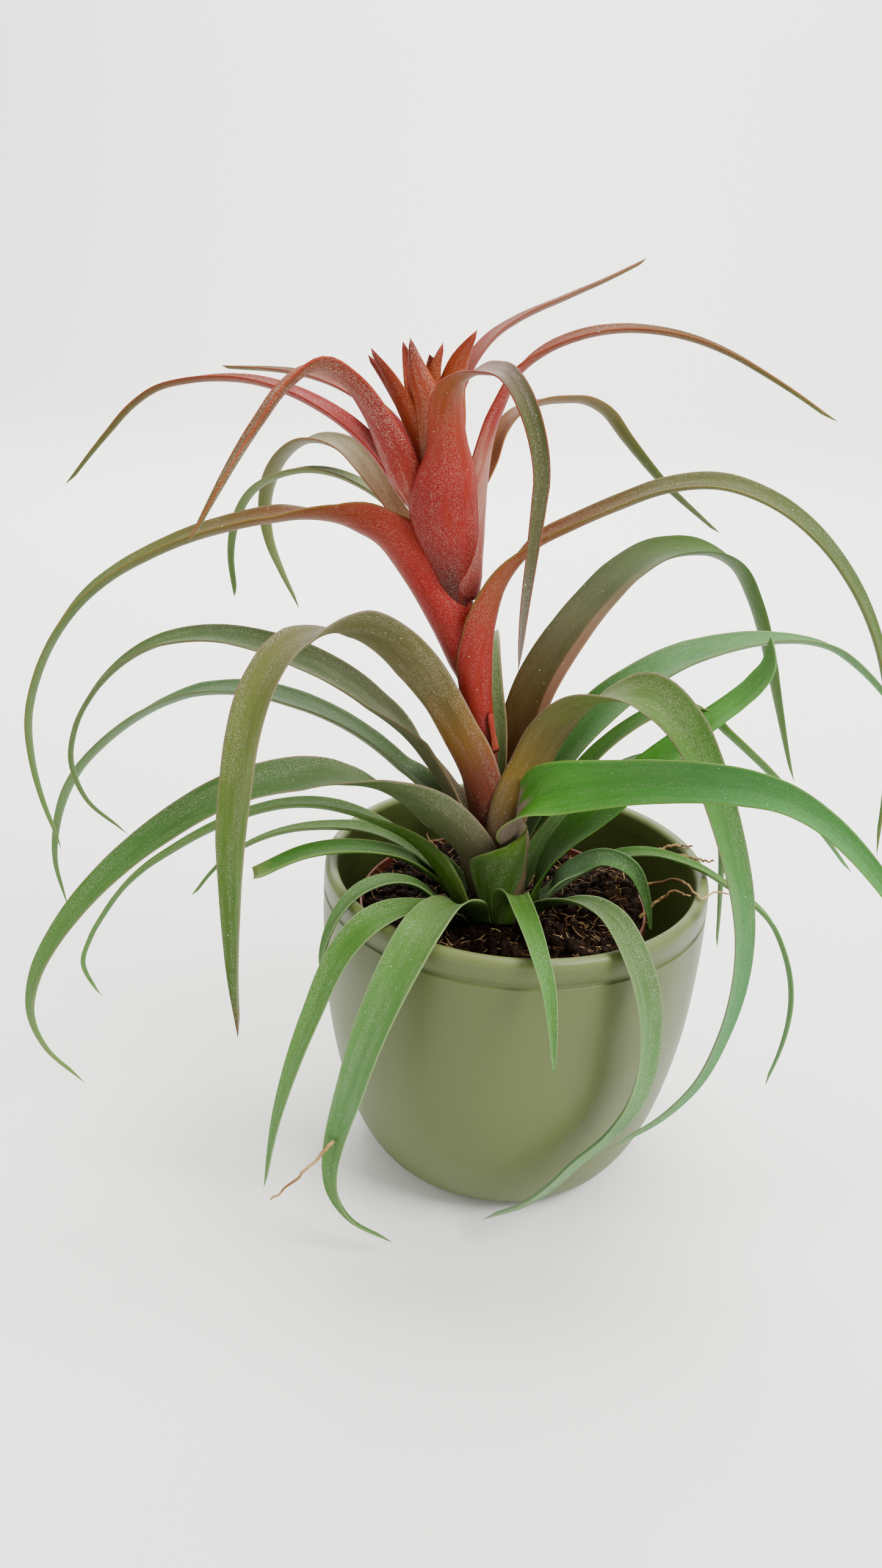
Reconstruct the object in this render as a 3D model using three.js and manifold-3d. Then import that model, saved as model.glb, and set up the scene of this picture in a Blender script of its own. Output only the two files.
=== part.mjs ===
// Potted tillandsia capitata: a rosette of channelled green leaves, a leaning flower stem clad in
// orange and red leaves, peat in a thin nursery pot, and a rounded glazed pot round it.
// Millimetres, +Z up. The origin is the middle of the pot's foot, on the surface it stands on.
// +X is to the viewer's right and -Y is towards the viewer.
import * as THREE from "three";
import { mergeVertices } from "three/addons/utils/BufferGeometryUtils.js";
import Module from "manifold-3d";

const wasm = await Module();
wasm.setup();

// Glazed pot
const POT_HEIGHT = 122;
const POT_RADIUS = 70;
const POT_WALL = 4.8;
const POT_FLOOR = 6;
const FOOT_RADIUS = 41;
const GROOVE_DROP = 9;
const GROOVE_DEPTH = 0.5;

// Nursery pot, a little off the glazed pot's middle
const LINER_X = -4;
const LINER_Y = -4;
const LINER_RADIUS = 53;
const LINER_FOOT_RADIUS = 36;
const LINER_WALL = 1.2;
const LINER_TOP = 107;
const LINER_COLLAR = 9;
const LINER_STEP = 2;
const GAP = 0.3;

// Peat
const PEAT_RADIUS = LINER_RADIUS - 2.6;
const PEAT_TOP = 105;
const LUMP_HEIGHT = 9;

// Plant
const CROWN_X = -6;
const CROWN_Y = -9;
const STEM_TOP = 260.5;
const STEM_HOLE = 5.2;
const BLADE = 0.9;
const BLADE_TIP = 0.7;
const STATION = 11;
const LEAST_STATIONS = 6;
const MOST_STATIONS = 20;
const ROOT_RADIUS = 0.5;
const ROOT_SIDES = 6;

const DEGREE = Math.PI / 180;
const part = new THREE.Group();

function add(name, geometry, colour, roughness) {
  const material = new THREE.MeshStandardMaterial({ color: colour, roughness, metalness: 0 });
  const mesh = new THREE.Mesh(geometry, material);
  mesh.name = name;
  part.add(mesh);
  return mesh;
}

// Smooth step from 0 at low to 1 at high.
function ramp(low, high, value) {
  return THREE.MathUtils.smoothstep(value, low, high);
}

// A closed turned body from [radius, height] corners that start and end on the axis.
function turned(corners, sides) {
  const profile = corners.map(([radius, height]) => new THREE.Vector2(radius, height));
  const geometry = new THREE.LatheGeometry(profile, sides);
  return geometry.rotateX(Math.PI / 2);
}

// Merged solid of a closed geometry, for a boolean cut.
function solid(geometry) {
  const bare = geometry.clone();
  bare.deleteAttribute("normal");
  bare.deleteAttribute("uv");
  const merged = mergeVertices(bare, 1e-4);
  const mesh = new wasm.Mesh({
    numProp: 3,
    vertProperties: merged.attributes.position.array,
    triVerts: new Uint32Array(merged.index.array),
  });
  return new wasm.Manifold(mesh);
}

function geometryOf(body) {
  const mesh = body.getMesh();
  const geometry = new THREE.BufferGeometry();
  geometry.setAttribute("position", new THREE.BufferAttribute(mesh.vertProperties, 3));
  geometry.setIndex(new THREE.BufferAttribute(mesh.triVerts, 1));
  return geometry;
}

// Glazed pot: a flat foot, a bowl-shaped belly, a fine groove below a rounded lip.
function potGeometry() {
  const corners = [[0, 0], [FOOT_RADIUS, 0]];
  // Half widths of the belly at fractions of the height.
  const belly = [[0.012, 44.6], [0.04, 50], [0.1, 55.2], [0.2, 60.4], [0.35, 65.2], [0.55, 69], [0.8, 70.6]];
  for (const [share, radius] of belly) corners.push([radius, share * POT_HEIGHT]);
  const groove = POT_HEIGHT - GROOVE_DROP;
  corners.push([POT_RADIUS + 0.5, groove - 0.8], [POT_RADIUS - GROOVE_DEPTH, groove]);
  corners.push([POT_RADIUS + 0.4, groove + 0.8]);
  const lip = POT_WALL / 2;
  for (let step = 0; step <= 6; step++) {
    const angle = (step / 6) * Math.PI;
    corners.push([POT_RADIUS - lip + lip * Math.cos(angle), POT_HEIGHT - lip + lip * Math.sin(angle)]);
  }
  const wall = (share, radius) => corners.push([radius - POT_WALL, share * POT_HEIGHT]);
  wall(0.8, 70.6);
  wall(0.55, 69);
  wall(0.35, 65.2);
  wall(0.2, 60.4);
  wall(0.1, 55.2);
  corners.push([FOOT_RADIUS + 2, POT_FLOOR], [0, POT_FLOOR]);
  return turned(corners, 56);
}

// Nursery pot: a thin tapered plastic shell with a rolled rim, standing on the glazed pot's floor.
function linerGeometry() {
  const foot = POT_FLOOR + GAP;
  const inner = LINER_RADIUS - LINER_STEP;
  const corners = [
    [0, foot],
    [LINER_FOOT_RADIUS, foot],
    [inner, LINER_TOP - LINER_COLLAR],
    [LINER_RADIUS, LINER_TOP - LINER_COLLAR + 1],
    [LINER_RADIUS, LINER_TOP],
    [LINER_RADIUS - LINER_WALL, LINER_TOP],
    [inner - LINER_WALL, LINER_TOP - LINER_COLLAR],
    [LINER_FOOT_RADIUS - LINER_WALL, foot + LINER_WALL],
    [0, foot + LINER_WALL],
  ];
  return turned(corners, 48).translate(LINER_X, LINER_Y, 0);
}

// Peat: rings of points whose height follows a formula, with a lump of coir on the right-hand side,
// down to the nursery pot's floor, and a plain hole where the stem stands.
function peatGeometry() {
  const rings = 9;
  const spokes = 40;
  const foot = POT_FLOOR + LINER_WALL + 2 * GAP;
  const points = [];
  const circle = (radius, heightAt) => {
    for (let spoke = 0; spoke < spokes; spoke++) {
      const angle = (spoke / spokes) * 2 * Math.PI;
      const x = LINER_X + radius * Math.cos(angle);
      const y = LINER_Y + radius * Math.sin(angle);
      points.push([x, y, heightAt(x, y)]);
    }
  };
  for (let ring = 1; ring <= rings; ring++) circle((PEAT_RADIUS * ring) / rings, peatHeight);
  circle(LINER_RADIUS - LINER_STEP - LINER_WALL - GAP, () => LINER_TOP - LINER_COLLAR);
  circle(LINER_FOOT_RADIUS - LINER_WALL - GAP, () => foot);
  const last = points.length - spokes;
  points.push([LINER_X, LINER_Y, peatHeight(LINER_X, LINER_Y)], [LINER_X, LINER_Y, foot]);
  const faces = [];
  for (let spoke = 0; spoke < spokes; spoke++) {
    const next = (spoke + 1) % spokes;
    faces.push(points.length - 2, spoke, next);
    for (let near = 0; near < last; near += spokes) {
      const far = near + spokes;
      faces.push(near + spoke, far + spoke, far + next, near + spoke, far + next, near + next);
    }
    faces.push(points.length - 1, last + next, last + spoke);
  }
  const geometry = new THREE.BufferGeometry();
  geometry.setAttribute("position", new THREE.Float32BufferAttribute(points.flat(), 3));
  geometry.setIndex(faces);
  const hole = new THREE.CylinderGeometry(STEM_HOLE, STEM_HOLE, 60, 24).rotateX(Math.PI / 2);
  hole.translate(CROWN_X, CROWN_Y, PEAT_TOP + 12);
  return geometryOf(solid(geometry).subtract(solid(hole)));
}

function peatHeight(x, y) {
  const fromCrown = Math.hypot(x - CROWN_X, y - CROWN_Y);
  const rough = Math.sin(x * 0.55 + 1.3) * Math.cos(y * 0.47) + 0.6 * Math.sin(x * 0.21 - y * 0.83);
  const lump = Math.exp(-(((x - 36) / 11) ** 2 + ((y - 4) / 20) ** 2));
  return PEAT_TOP + rough * ramp(14, 24, fromCrown) + LUMP_HEIGHT * lump - 0.8;
}

// The stem leans to the left, a little more with height.
function leanX(height) {
  const rise = Math.max(0, height - PEAT_TOP);
  return CROWN_X - 0.1 * rise - 0.00055 * rise * rise;
}

function stemRadius(height) {
  return THREE.MathUtils.mapLinear(height, PEAT_TOP, STEM_TOP, 4.2, 2.6);
}

// The stem: level rings along its leaning line, closed at both ends by fans.
function stemGeometry() {
  const steps = 12;
  const sides = 12;
  const foot = PEAT_TOP - 14;
  const points = [];
  const faces = [];
  for (let step = 0; step <= steps; step++) {
    const height = THREE.MathUtils.lerp(foot, STEM_TOP, step / steps);
    for (let side = 0; side < sides; side++) {
      const angle = (side / sides) * 360;
      points.push(onStem(angle, stemRadius(height), height, 0));
    }
  }
  for (let step = 0; step < steps; step++) {
    for (let side = 0; side < sides; side++) {
      const near = step * sides + side;
      const next = step * sides + ((side + 1) % sides);
      faces.push(near, next, next + sides, near, next + sides, near + sides);
    }
  }
  const last = steps * sides;
  for (let side = 1; side < sides - 1; side++) {
    faces.push(0, side + 1, side);
    faces.push(last, last + side, last + side + 1);
  }
  const geometry = new THREE.BufferGeometry().setFromPoints(points);
  geometry.setIndex(faces);
  return geometry;
}

// A root or straw: a thin tube along a smooth line.
function rootGeometry(points) {
  const line = new THREE.CatmullRomCurve3(points.map((point) => new THREE.Vector3(...point)));
  const corners = [];
  for (let side = 0; side < ROOT_SIDES; side++) {
    const angle = (side / ROOT_SIDES) * 2 * Math.PI;
    corners.push(new THREE.Vector2(ROOT_RADIUS * Math.cos(angle), ROOT_RADIUS * Math.sin(angle)));
  }
  const steps = 3 * (points.length - 1);
  const outline = new THREE.Shape(corners);
  return new THREE.ExtrudeGeometry(outline, { steps, extrudePath: line, bevelEnabled: false });
}

// Skins rings of equal size into one closed body. A ring holds its upper points from the left edge to
// the right edge, then its lower points back again. The far end closes on one point, or flat.
function skinned(rings, tip) {
  const size = rings[0].length;
  const across = size / 2;
  const points = rings.flat();
  const faces = [];
  for (let ring = 0; ring < rings.length - 1; ring++) {
    const near = ring * size;
    const far = near + size;
    for (let i = 0; i < size; i++) {
      const next = (i + 1) % size;
      if (i < across - 1) faces.push(near + i, near + next, far + next, near + i, far + next, far + i);
      else faces.push(near + i, near + next, far + i, near + next, far + next, far + i);
    }
  }
  const last = (rings.length - 1) * size;
  for (let i = 0; i < across - 1; i++) {
    const below = size - 1 - i;
    faces.push(i + 1, i, below, i + 1, below, below - 1);
    if (!tip) faces.push(last + i, last + i + 1, last + below, last + i + 1, last + below - 1, last + below);
  }
  if (tip) {
    points.push(tip);
    for (let i = 0; i < size; i++) faces.push(last + i, last + ((i + 1) % size), points.length - 1);
  }
  const geometry = new THREE.BufferGeometry().setFromPoints(points);
  geometry.setIndex(faces);
  return geometry;
}

// One leaf. Its foot is a list of [azimuth, radius, height] round the leaning stem's own line, where the
// leaf is a sheath. Its path goes on as [reach, height, sway]: reach outwards from the stem's line along
// the heading, sway sideways to the left of it. The sheath covers hug degrees to each side of its rib
// over the first clasp millimetres, then opens over as many millimetres as open says into a channelled
// blade. turn lists [share of the length, degrees] by which the blade rolls towards its right-hand edge.
function leafGeometry(leaf) {
  const { foot, heading, path, width, strips = 4, channel = 38, blunt = 0, ease = 2 } = leaf;
  const { hug, clasp = 12, open = 24, sheath = foot[0][1] * 1.2, turn = [[0, 0]] } = leaf;
  const places = foot.map(([azimuth, radius, height]) => onStem(azimuth, radius, height, 0));
  for (const [reach, height, sway = 0] of path) places.push(onStem(heading, reach, height, sway));
  const line = new THREE.CatmullRomCurve3(places, false, "centripetal");
  const length = line.getLength();
  const steps = THREE.MathUtils.clamp(Math.round(length / STATION), LEAST_STATIONS, MOST_STATIONS);
  const across = onStem(foot[0][0] + 90, 1, foot[0][2], 0).sub(onStem(0, 0, foot[0][2], 0));
  // A blade that heads another way than its foot faces would stay tilted by this much.
  const level = THREE.MathUtils.euclideanModulo(heading - foot[0][0] + 180, 360) - 180;
  const rings = [];
  for (let step = 0; step <= steps; step++) {
    const share = (step / steps) ** 1.25 * (blunt ? 1 : 0.985);
    const along = line.getTangentAt(share);
    const place = line.getPointAt(share);
    across.addScaledVector(along, -across.dot(along)).normalize();
    const roll = between(turn, share) + level * ramp(0.06, 0.3, share);
    const left = across.clone().applyAxisAngle(along, roll * DEGREE);
    const up = along.clone().cross(left);
    const grip = 1 - ramp(clasp, clasp + open, share * length);
    const wrap = Array.isArray(hug) ? between(hug, share) : hug;
    const half = THREE.MathUtils.lerp(channel, wrap, grip) * DEGREE;
    const fromStem = Math.hypot(place.x - leanX(place.z), place.y - CROWN_Y);
    const taper = (1 - (1 - blunt) * share ** ease) ** 0.95;
    const bladeRadius = (width * taper) / (2 * Math.sin(channel * DEGREE));
    const radius = THREE.MathUtils.lerp(bladeRadius, Math.min(fromStem, sheath), grip);
    const thick = THREE.MathUtils.lerp(BLADE, BLADE_TIP, share);
    // The blade's path runs halfway up its channel.
    place.addScaledVector(up, (-radius * (1 - Math.cos(half)) * (1 - grip)) / 2);
    const upper = [];
    const lower = [];
    for (let strip = 0; strip <= strips; strip++) {
      const angle = half * (1 - (2 * strip) / strips);
      const reachOut = (size) => place.clone()
        .addScaledVector(left, size * Math.sin(angle))
        .addScaledVector(up, radius - size * Math.cos(angle));
      upper.push(reachOut(radius));
      lower.unshift(reachOut(radius + thick));
    }
    rings.push([...upper, ...lower]);
  }
  return skinned(rings, blunt ? null : line.getPointAt(1));
}

// The point at a height, so far out from the stem's own line in one direction, and so far left of that.
function onStem(azimuth, reach, height, sway) {
  const outX = Math.cos(azimuth * DEGREE);
  const outY = Math.sin(azimuth * DEGREE);
  return new THREE.Vector3(
    leanX(height) + reach * outX - sway * outY,
    CROWN_Y + reach * outY + sway * outX,
    height,
  );
}

// Smooth in-between value of a list of [share, value].
function between(list, share) {
  let value = list[0][1];
  for (let i = 1; i < list.length; i++) {
    value += (list[i][1] - list[i - 1][1]) * ramp(list[i - 1][0], list[i][0], share);
  }
  return value;
}

const FLAME = 0xb8452c;
const SUNSET = 0x9a6a3c;
const OLIVE = 0x66703f;
const GREEN = 0x4f8238;
const SILVER_GREEN = 0x6d9468;

// Leaves of the flower stem, from its foot to its top.
const STEM_LEAVES = [
  { name: "sunset_leaf_right", colour: SUNSET, heading: 350, width: 12, clasp: 44, open: 28,
    hug: [[0.06, 78], [0.14, 60]], sheath: 7.4, strips: 6, turn: [[0.2, 0], [0.5, 14]],
    foot: [[286, 4.4, 150], [286, 5.4, 178], [298, 7, 196]],
    path: [[8, 210, -5], [12, 222, -4], [22, 237], [39, 248], [62, 259], [83, 266], [102, 263], [117, 252],
      [127, 236], [133, 215], [134, 186], [131, 150]] },
  { name: "sunset_leaf_left", colour: SUNSET, heading: 186, width: 11.5, clasp: 30, open: 28,
    hug: [[0.02, 50], [0.07, 72]], sheath: 5.4, strips: 6,
    foot: [[214, 4.4, 191], [210, 7.2, 201], [206, 9.8, 210]],
    path: [[12.2, 220, 1.5], [15.5, 231, 1], [21, 240], [33, 246], [51, 246], [74, 241], [96, 233],
      [121, 219], [141, 199], [155, 173], [158, 148], [155, 123]] },
  { name: "flame_leaf_front", colour: FLAME, heading: 292, width: 11.5, hug: 68, clasp: 42, open: 24,
    sheath: 10.8, strips: 6, turn: [[0.35, 0], [0.6, 20]],
    foot: [[286, 4, 212], [286, 5.2, 222], [286, 7.6, 232], [286, 10, 242], [288, 11, 252]],
    path: [[12.6, 266, 2], [17, 279, 3], [23, 287, 3.5], [30, 291.8, 5.5], [40, 295.3, 8], [54, 297, 9],
      [64, 296, 10], [69, 292, 10], [74, 279, 8], [77.5, 261, 1], [79.5, 243, -6], [78, 223, -11]] },
  { name: "thin_leaf_back", colour: GREEN, heading: 148, width: 6, hug: 16, clasp: 10, strips: 2,
    foot: [[96, 4.2, 214], [98, 6.2, 226]],
    path: [[19, 240, -7], [30, 246.8, -9], [39, 250.5, -10], [56, 255, -5], [79, 249], [98, 236], [110, 218],
      [114, 199]] },
  { name: "olive_leaf_back", colour: OLIVE, heading: 137, width: 9, hug: 30, clasp: 14,
    foot: [[150, 4.2, 214], [148, 6.2, 226]],
    path: [[12, 237, 2], [22, 246, 2], [32, 256, 2], [46, 263], [69, 262], [94, 249],
      [109, 232], [112, 217], [101, 193]] },
  { name: "flame_leaf_left_front", colour: FLAME, heading: 215, width: 12, hug: 30, clasp: 22,
    turn: [[0.02, 0], [0.12, 38], [0.3, 34], [0.5, 5]],
    foot: [[212, 3.8, 222], [212, 5.8, 234], [212, 7.8, 246]],
    path: [[11.5, 261], [15, 275], [20, 286], [28, 293], [40, 289], [59, 273], [72, 260], [86, 245]] },
  { name: "flame_leaf_right", colour: FLAME, heading: 12, width: 10, hug: 46, clasp: 22,
    turn: [[0.05, 0], [0.15, -34], [0.28, -30], [0.5, 10]],
    foot: [[342, 3.8, 222], [342, 5.8, 234], [346, 7.8, 246]],
    path: [[14, 264], [23, 279], [34, 293], [51, 302], [72, 306], [95, 303],
      [116, 293], [136, 280]] },
  { name: "flame_leaf_left", colour: FLAME, heading: 168, width: 8, hug: 32, clasp: 16,
    foot: [[154, 3.7, 228], [154, 5.4, 241]],
    path: [[11, 253, 1], [17, 264], [28, 275], [45, 283], [65, 285], [94, 279], [115, 265], [141, 244]] },
  { name: "flame_leaf_back", colour: FLAME, heading: 45, width: 9, hug: 40, clasp: 16,
    foot: [[56, 3.7, 228], [52, 6, 243]],
    path: [[21, 260], [32, 273], [43, 279], [64, 281], [80, 278], [93, 264], [107, 250], [137, 228]] },
  { name: "flame_leaf_left_back", colour: FLAME, heading: 142, width: 8, hug: 36, clasp: 14,
    foot: [[128, 3.8, 240], [130, 5.6, 252]],
    path: [[11, 268, -1], [20, 278], [36, 284], [59, 286], [99, 284]] },
  { name: "flame_leaf_top", colour: FLAME, heading: 50, width: 8, hug: 36, clasp: 12,
    foot: [[64, 3.8, 248], [60, 5, 260]],
    path: [[12, 278], [22, 289], [36, 299], [54, 306], [78, 312], [107, 319], [133, 326]] },
];

// Leaves of the crown, from the innermost sheath to the outermost.
const CROWN_LEAVES = [
  { name: "crown_leaf_front", colour: OLIVE, heading: 222, width: 13.5, hug: 54, clasp: 28, open: 34,
    sheath: 7.6, strips: 6,
    foot: [[256, 5.2, 120], [256, 6.8, 148], [250, 8.4, 163]],
    path: [[11.5, 179, 1], [20, 198], [30, 211], [42, 218], [56, 218], [71, 212], [83, 197], [93, 174],
      [101, 145], [106, 114], [106, 90]] },
  { name: "back_leaf_tall", colour: OLIVE, heading: 90, width: 13, hug: 54, clasp: 24,
    foot: [[84, 5.6, 133], [84, 7, 150]],
    path: [[10, 167, -2], [15, 181, -2], [23, 191, -2], [33, 196.5, -2], [47, 196, -1], [65, 187, 1],
      [84, 168, 4], [100, 144, 8], [110, 118, 10]] },
  { name: "arch_leaf_right_tall", colour: OLIVE, heading: 42, width: 22, hug: 72, clasp: 20, open: 36,
    strips: 6, channel: 46, ease: 1.1, sheath: 9, turn: [[0.06, 0], [0.2, 24], [0.5, 16]],
    foot: [[20, 7, 123], [20, 8.2, 140]],
    path: [[13, 165, 1], [20, 181, 1], [38, 199, 1], [62, 214, 1], [90, 226], [114, 226], [134, 219],
      [146, 200], [154, 174], [163, 142], [172, 116]] },
  { name: "arch_leaf_left_upper", colour: OLIVE, heading: 168, width: 14, hug: 66, clasp: 18,
    turn: [[0.08, 0], [0.3, -15]], ease: 1.6,
    foot: [[190, 6.9, 115], [186, 9.4, 141]],
    path: [[21, 171, 1], [40, 189], [66, 198], [96, 198], [126, 188], [150, 171], [167, 150], [173, 131],
      [169, 118], [152, 106]] },
  { name: "arch_leaf_right_front", colour: OLIVE, heading: 347, width: 13, hug: 38, clasp: 18, open: 26,
    turn: [[0.03, 0], [0.14, -30], [0.24, -46], [0.38, 36], [1, 20]],
    foot: [[302, 8.5, 117], [302, 10, 135], [314, 13, 152]],
    path: [[18.5, 168, -2], [29, 184], [44, 194], [57, 198], [68, 192], [77, 175], [84, 154, -4],
      [89, 131, -7], [90, 110, -11], [88, 87, -17], [81, 67, -27], [70, 57, -38], [57, 51, -49]] },
  { name: "arch_leaf_right_upper", colour: GREEN, heading: 25, width: 14, hug: 36, clasp: 14,
    foot: [[46, 8.6, 109], [42, 11, 132]],
    path: [[18, 149], [34, 167], [55, 183], [78, 194], [101, 199], [122, 200], [144, 196], [168, 177],
      [185, 155]] },
  { name: "arch_leaf_left_lower", colour: SILVER_GREEN, heading: 164, width: 10.5, hug: 38, clasp: 14,
    foot: [[148, 8.3, 115], [152, 11.5, 135]],
    path: [[26, 160], [48, 173], [75, 177], [101, 174], [130, 163], [159, 144], [184, 120], [197, 94],
      [199, 70], [194, 56]] },
  { name: "broad_leaf_left", colour: GREEN, heading: 200, width: 15.5, hug: 40, clasp: 16, ease: 1.8,
    turn: [[0, 0], [0.12, -10], [0.4, -30]], sheath: 12,
    foot: [[256, 10, 111], [252, 12.4, 126], [238, 16, 141]],
    path: [[29, 156, 4], [49, 165, 2], [69, 164], [90, 158], [112, 147], [133, 132], [151, 114], [162, 96],
      [165, 79], [160, 63], [149, 49]] },
  { name: "broad_leaf_right", colour: GREEN, heading: 333, width: 14.5, hug: 30, clasp: 10, open: 24,
    turn: [[0.1, 0], [0.18, 10], [0.28, 54], [0.6, 50], [1, 38]],
    foot: [[326, 11.4, 112], [324, 12.4, 124], [316, 15.6, 137]],
    path: [[18, 149, -8.5], [23, 156, -8.5], [31, 162.8, -7.5], [48.5, 168.8, -2], [66, 174], [88, 179],
      [107, 180], [122, 174], [135, 162], [146, 148], [155, 130], [160, 108]] },
  { name: "slim_leaf_right", colour: GREEN, heading: 20, width: 8, hug: 20, clasp: 8, strips: 2,
    foot: [[58, 9.9, 108], [50, 13, 128]],
    path: [[27, 150], [45, 167], [64, 178], [81, 180], [95, 168], [113, 150], [132, 128], [149, 106]] },
  { name: "back_leaf_low", colour: GREEN, heading: 97, width: 10, hug: 24, clasp: 6,
    foot: [[104, 10, 108]],
    path: [[17, 120], [28, 131], [46, 136], [66, 133], [84, 121], [96, 100], [102, 76]] },
  { name: "cut_leaf_crown", colour: SILVER_GREEN, heading: 278, width: 19, hug: 36, clasp: 20, blunt: 0.75,
    foot: [[278, 13.4, 108], [277, 16, 122]], path: [[19, 136]] },
  { name: "low_leaf_left", colour: GREEN, heading: 183, width: 12, hug: 19, clasp: 6,
    foot: [[227, 15.2, 108.3], [217, 17.8, 118]],
    path: [[21, 127.5, 5], [28, 133.5, 2], [40, 139], [57, 144], [75, 143], [96, 135], [115, 124],
      [135, 109], [148, 91], [156, 73], [155, 62], [149, 56]] },
  { name: "thin_leaf_right", colour: SILVER_GREEN, heading: 30, width: 7, hug: 14, clasp: 8, strips: 2,
    foot: [[52, 11.5, 107.5]],
    path: [[18, 122, 3], [39, 145, 2], [62, 156], [82, 154], [95, 142], [101, 120], [104, 91], [107, 64]] },
  { name: "curled_leaf_right", colour: GREEN, heading: 14, width: 12.5, hug: 20, clasp: 6,
    turn: [[0, 0], [0.1, 40], [0.6, 20]],
    foot: [[329, 15.4, 108.4]],
    path: [[18, 124, -4], [29, 136, -2], [43, 146], [61, 161], [80, 175], [98, 188], [108, 200],
      [107, 207, 13], [97, 203, 31]] },
  { name: "slim_leaf_left", colour: GREEN, heading: 168, width: 9, hug: 18, clasp: 4, strips: 2,
    foot: [[151, 11.6, 107.5]],
    path: [[21, 120], [44, 129], [66, 127], [87, 120], [110, 105], [126, 84]] },
  { name: "cut_leaf_left", colour: GREEN, heading: 190, width: 9, hug: 14, clasp: 4, blunt: 0.7,
    foot: [[190, 12.2, 107.5]],
    path: [[21, 115.5, -2.5], [35, 126, -1], [52, 130], [69, 128], [88, 119]] },
  { name: "rim_leaf_front", colour: GREEN, heading: 246, width: 13.5, hug: 15, clasp: 2, open: 14,
    foot: [[253, 16.6, 107.5]],
    path: [[21, 117, 1], [32, 124, 0.5], [55, 126, 3], [70, 110, -2], [78, 92, -6], [82, 73, -9.5],
      [84, 52, -14], [85, 36, -15], [81, 18, -12], [77, 11, -4], [73, 7, 4]] },
  { name: "rim_leaf_far_right", colour: GREEN, heading: 6, width: 7, hug: 10, clasp: 4, strips: 2,
    foot: [[17, 13, 107.5]],
    path: [[20, 114], [32, 123], [52, 131], [72, 127], [88, 117], [101, 106], [111, 88],
      [116, 69], [116, 49], [112, 28]] },
  { name: "short_leaf_right", colour: SILVER_GREEN, heading: 350, width: 11, hug: 13, clasp: 2,
    turn: [[0.15, 0], [0.4, 45]],
    foot: [[340, 16.8, 107.5]],
    path: [[21.5, 119, -3], [25.5, 124, -1], [33.5, 129.5, 3], [44.7, 134, 1], [52.6, 128.5], [56, 117, -1],
      [57.3, 107.5, -2]] },
  { name: "rim_leaf_right", colour: SILVER_GREEN, heading: 312, width: 10.5, hug: 12, clasp: 2,
    foot: [[306, 16.6, 107.5]],
    path: [[22, 116, 2], [39, 127, 4], [56, 130, 4], [70, 124, 1], [77, 112], [79, 96, 1],
      [79, 76], [72, 54, -3], [66, 41, -13], [58, 24, -24], [46, 12, -36]] },
  { name: "rim_leaf_middle", colour: GREEN, heading: 280, width: 9, hug: 13, clasp: 2, channel: 44,
    foot: [[281, 16.6, 107.5]],
    path: [[18.5, 117, 2], [22, 124.5, 4], [28, 127.5, 4.5], [43, 127, 6], [65, 126, 7], [74, 120, 8],
      [80, 110, 8], [82, 94, 9]] },
  { name: "rim_leaf_left_small", colour: SILVER_GREEN, heading: 215, width: 7.5, hug: 9, clasp: 3, strips: 2,
    foot: [[200, 16.8, 107.5]],
    path: [[23, 115.5, -3.5], [36, 126, -1.5], [49, 128], [60, 123], [68, 112], [71, 102], [70, 90]] },
  { name: "rim_leaf_left", colour: GREEN, heading: 228, width: 10, hug: 10, clasp: 2,
    turn: [[0.1, 0], [0.4, -20]],
    foot: [[230, 17.7, 107.5]],
    path: [[22, 113, 1.5], [33, 119, 2], [49, 125, 4], [61, 124.5, 4], [71, 115], [80, 95, -4],
      [87, 71, -8], [91, 44, -13], [95, 19, -14]] },
];

// Short pointed bracts of the head, and a small red scale low on the stem.
const HEAD_BRACTS = [
  { name: "head_bract_middle", heading: 20, width: 5, foot: [[20, 1, 262]],
    path: [[2, 272], [3, 280], [5, 288], [7, 296]] },
  { name: "head_bract_back", heading: 100, width: 7, foot: [[90, 2.4, 261]],
    path: [[3.4, 273], [4.6, 282], [6.4, 291], [9, 299]] },
  { name: "head_bract_right", heading: 330, width: 6, foot: [[330, 2.4, 261]],
    path: [[3.6, 273], [5, 282], [8, 290], [12, 300, 4]] },
  { name: "head_bract_left", heading: 200, width: 7, foot: [[206, 2.4, 261]],
    path: [[3.2, 273, 0], [4.6, 280, -2], [7, 287, -4.5], [11, 295, -7]] },
  { name: "head_bract_left_front", heading: 230, width: 7, foot: [[232, 3.8, 261]],
    path: [[5, 273], [6.5, 281, -0.5], [9, 290, -1], [13, 298, -1]] },
  { name: "head_bract_front", heading: 270, width: 9.5, foot: [[278, 5.2, 258]],
    path: [[7, 273, 2], [8.2, 283, 2], [7.6, 292, 1], [5, 301, 1]] },
  { name: "head_bract_far_right", heading: 352, width: 7, hug: 28, foot: [[346, 5.2, 258]],
    path: [[7, 270], [9.6, 281], [14, 292], [24, 304]] },
  { name: "red_scale", heading: 308, width: 3, hug: 12, foot: [[308, 7.4, 170]],
    path: [[7, 175], [6.8, 179], [6.6, 184]] },
];

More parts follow.
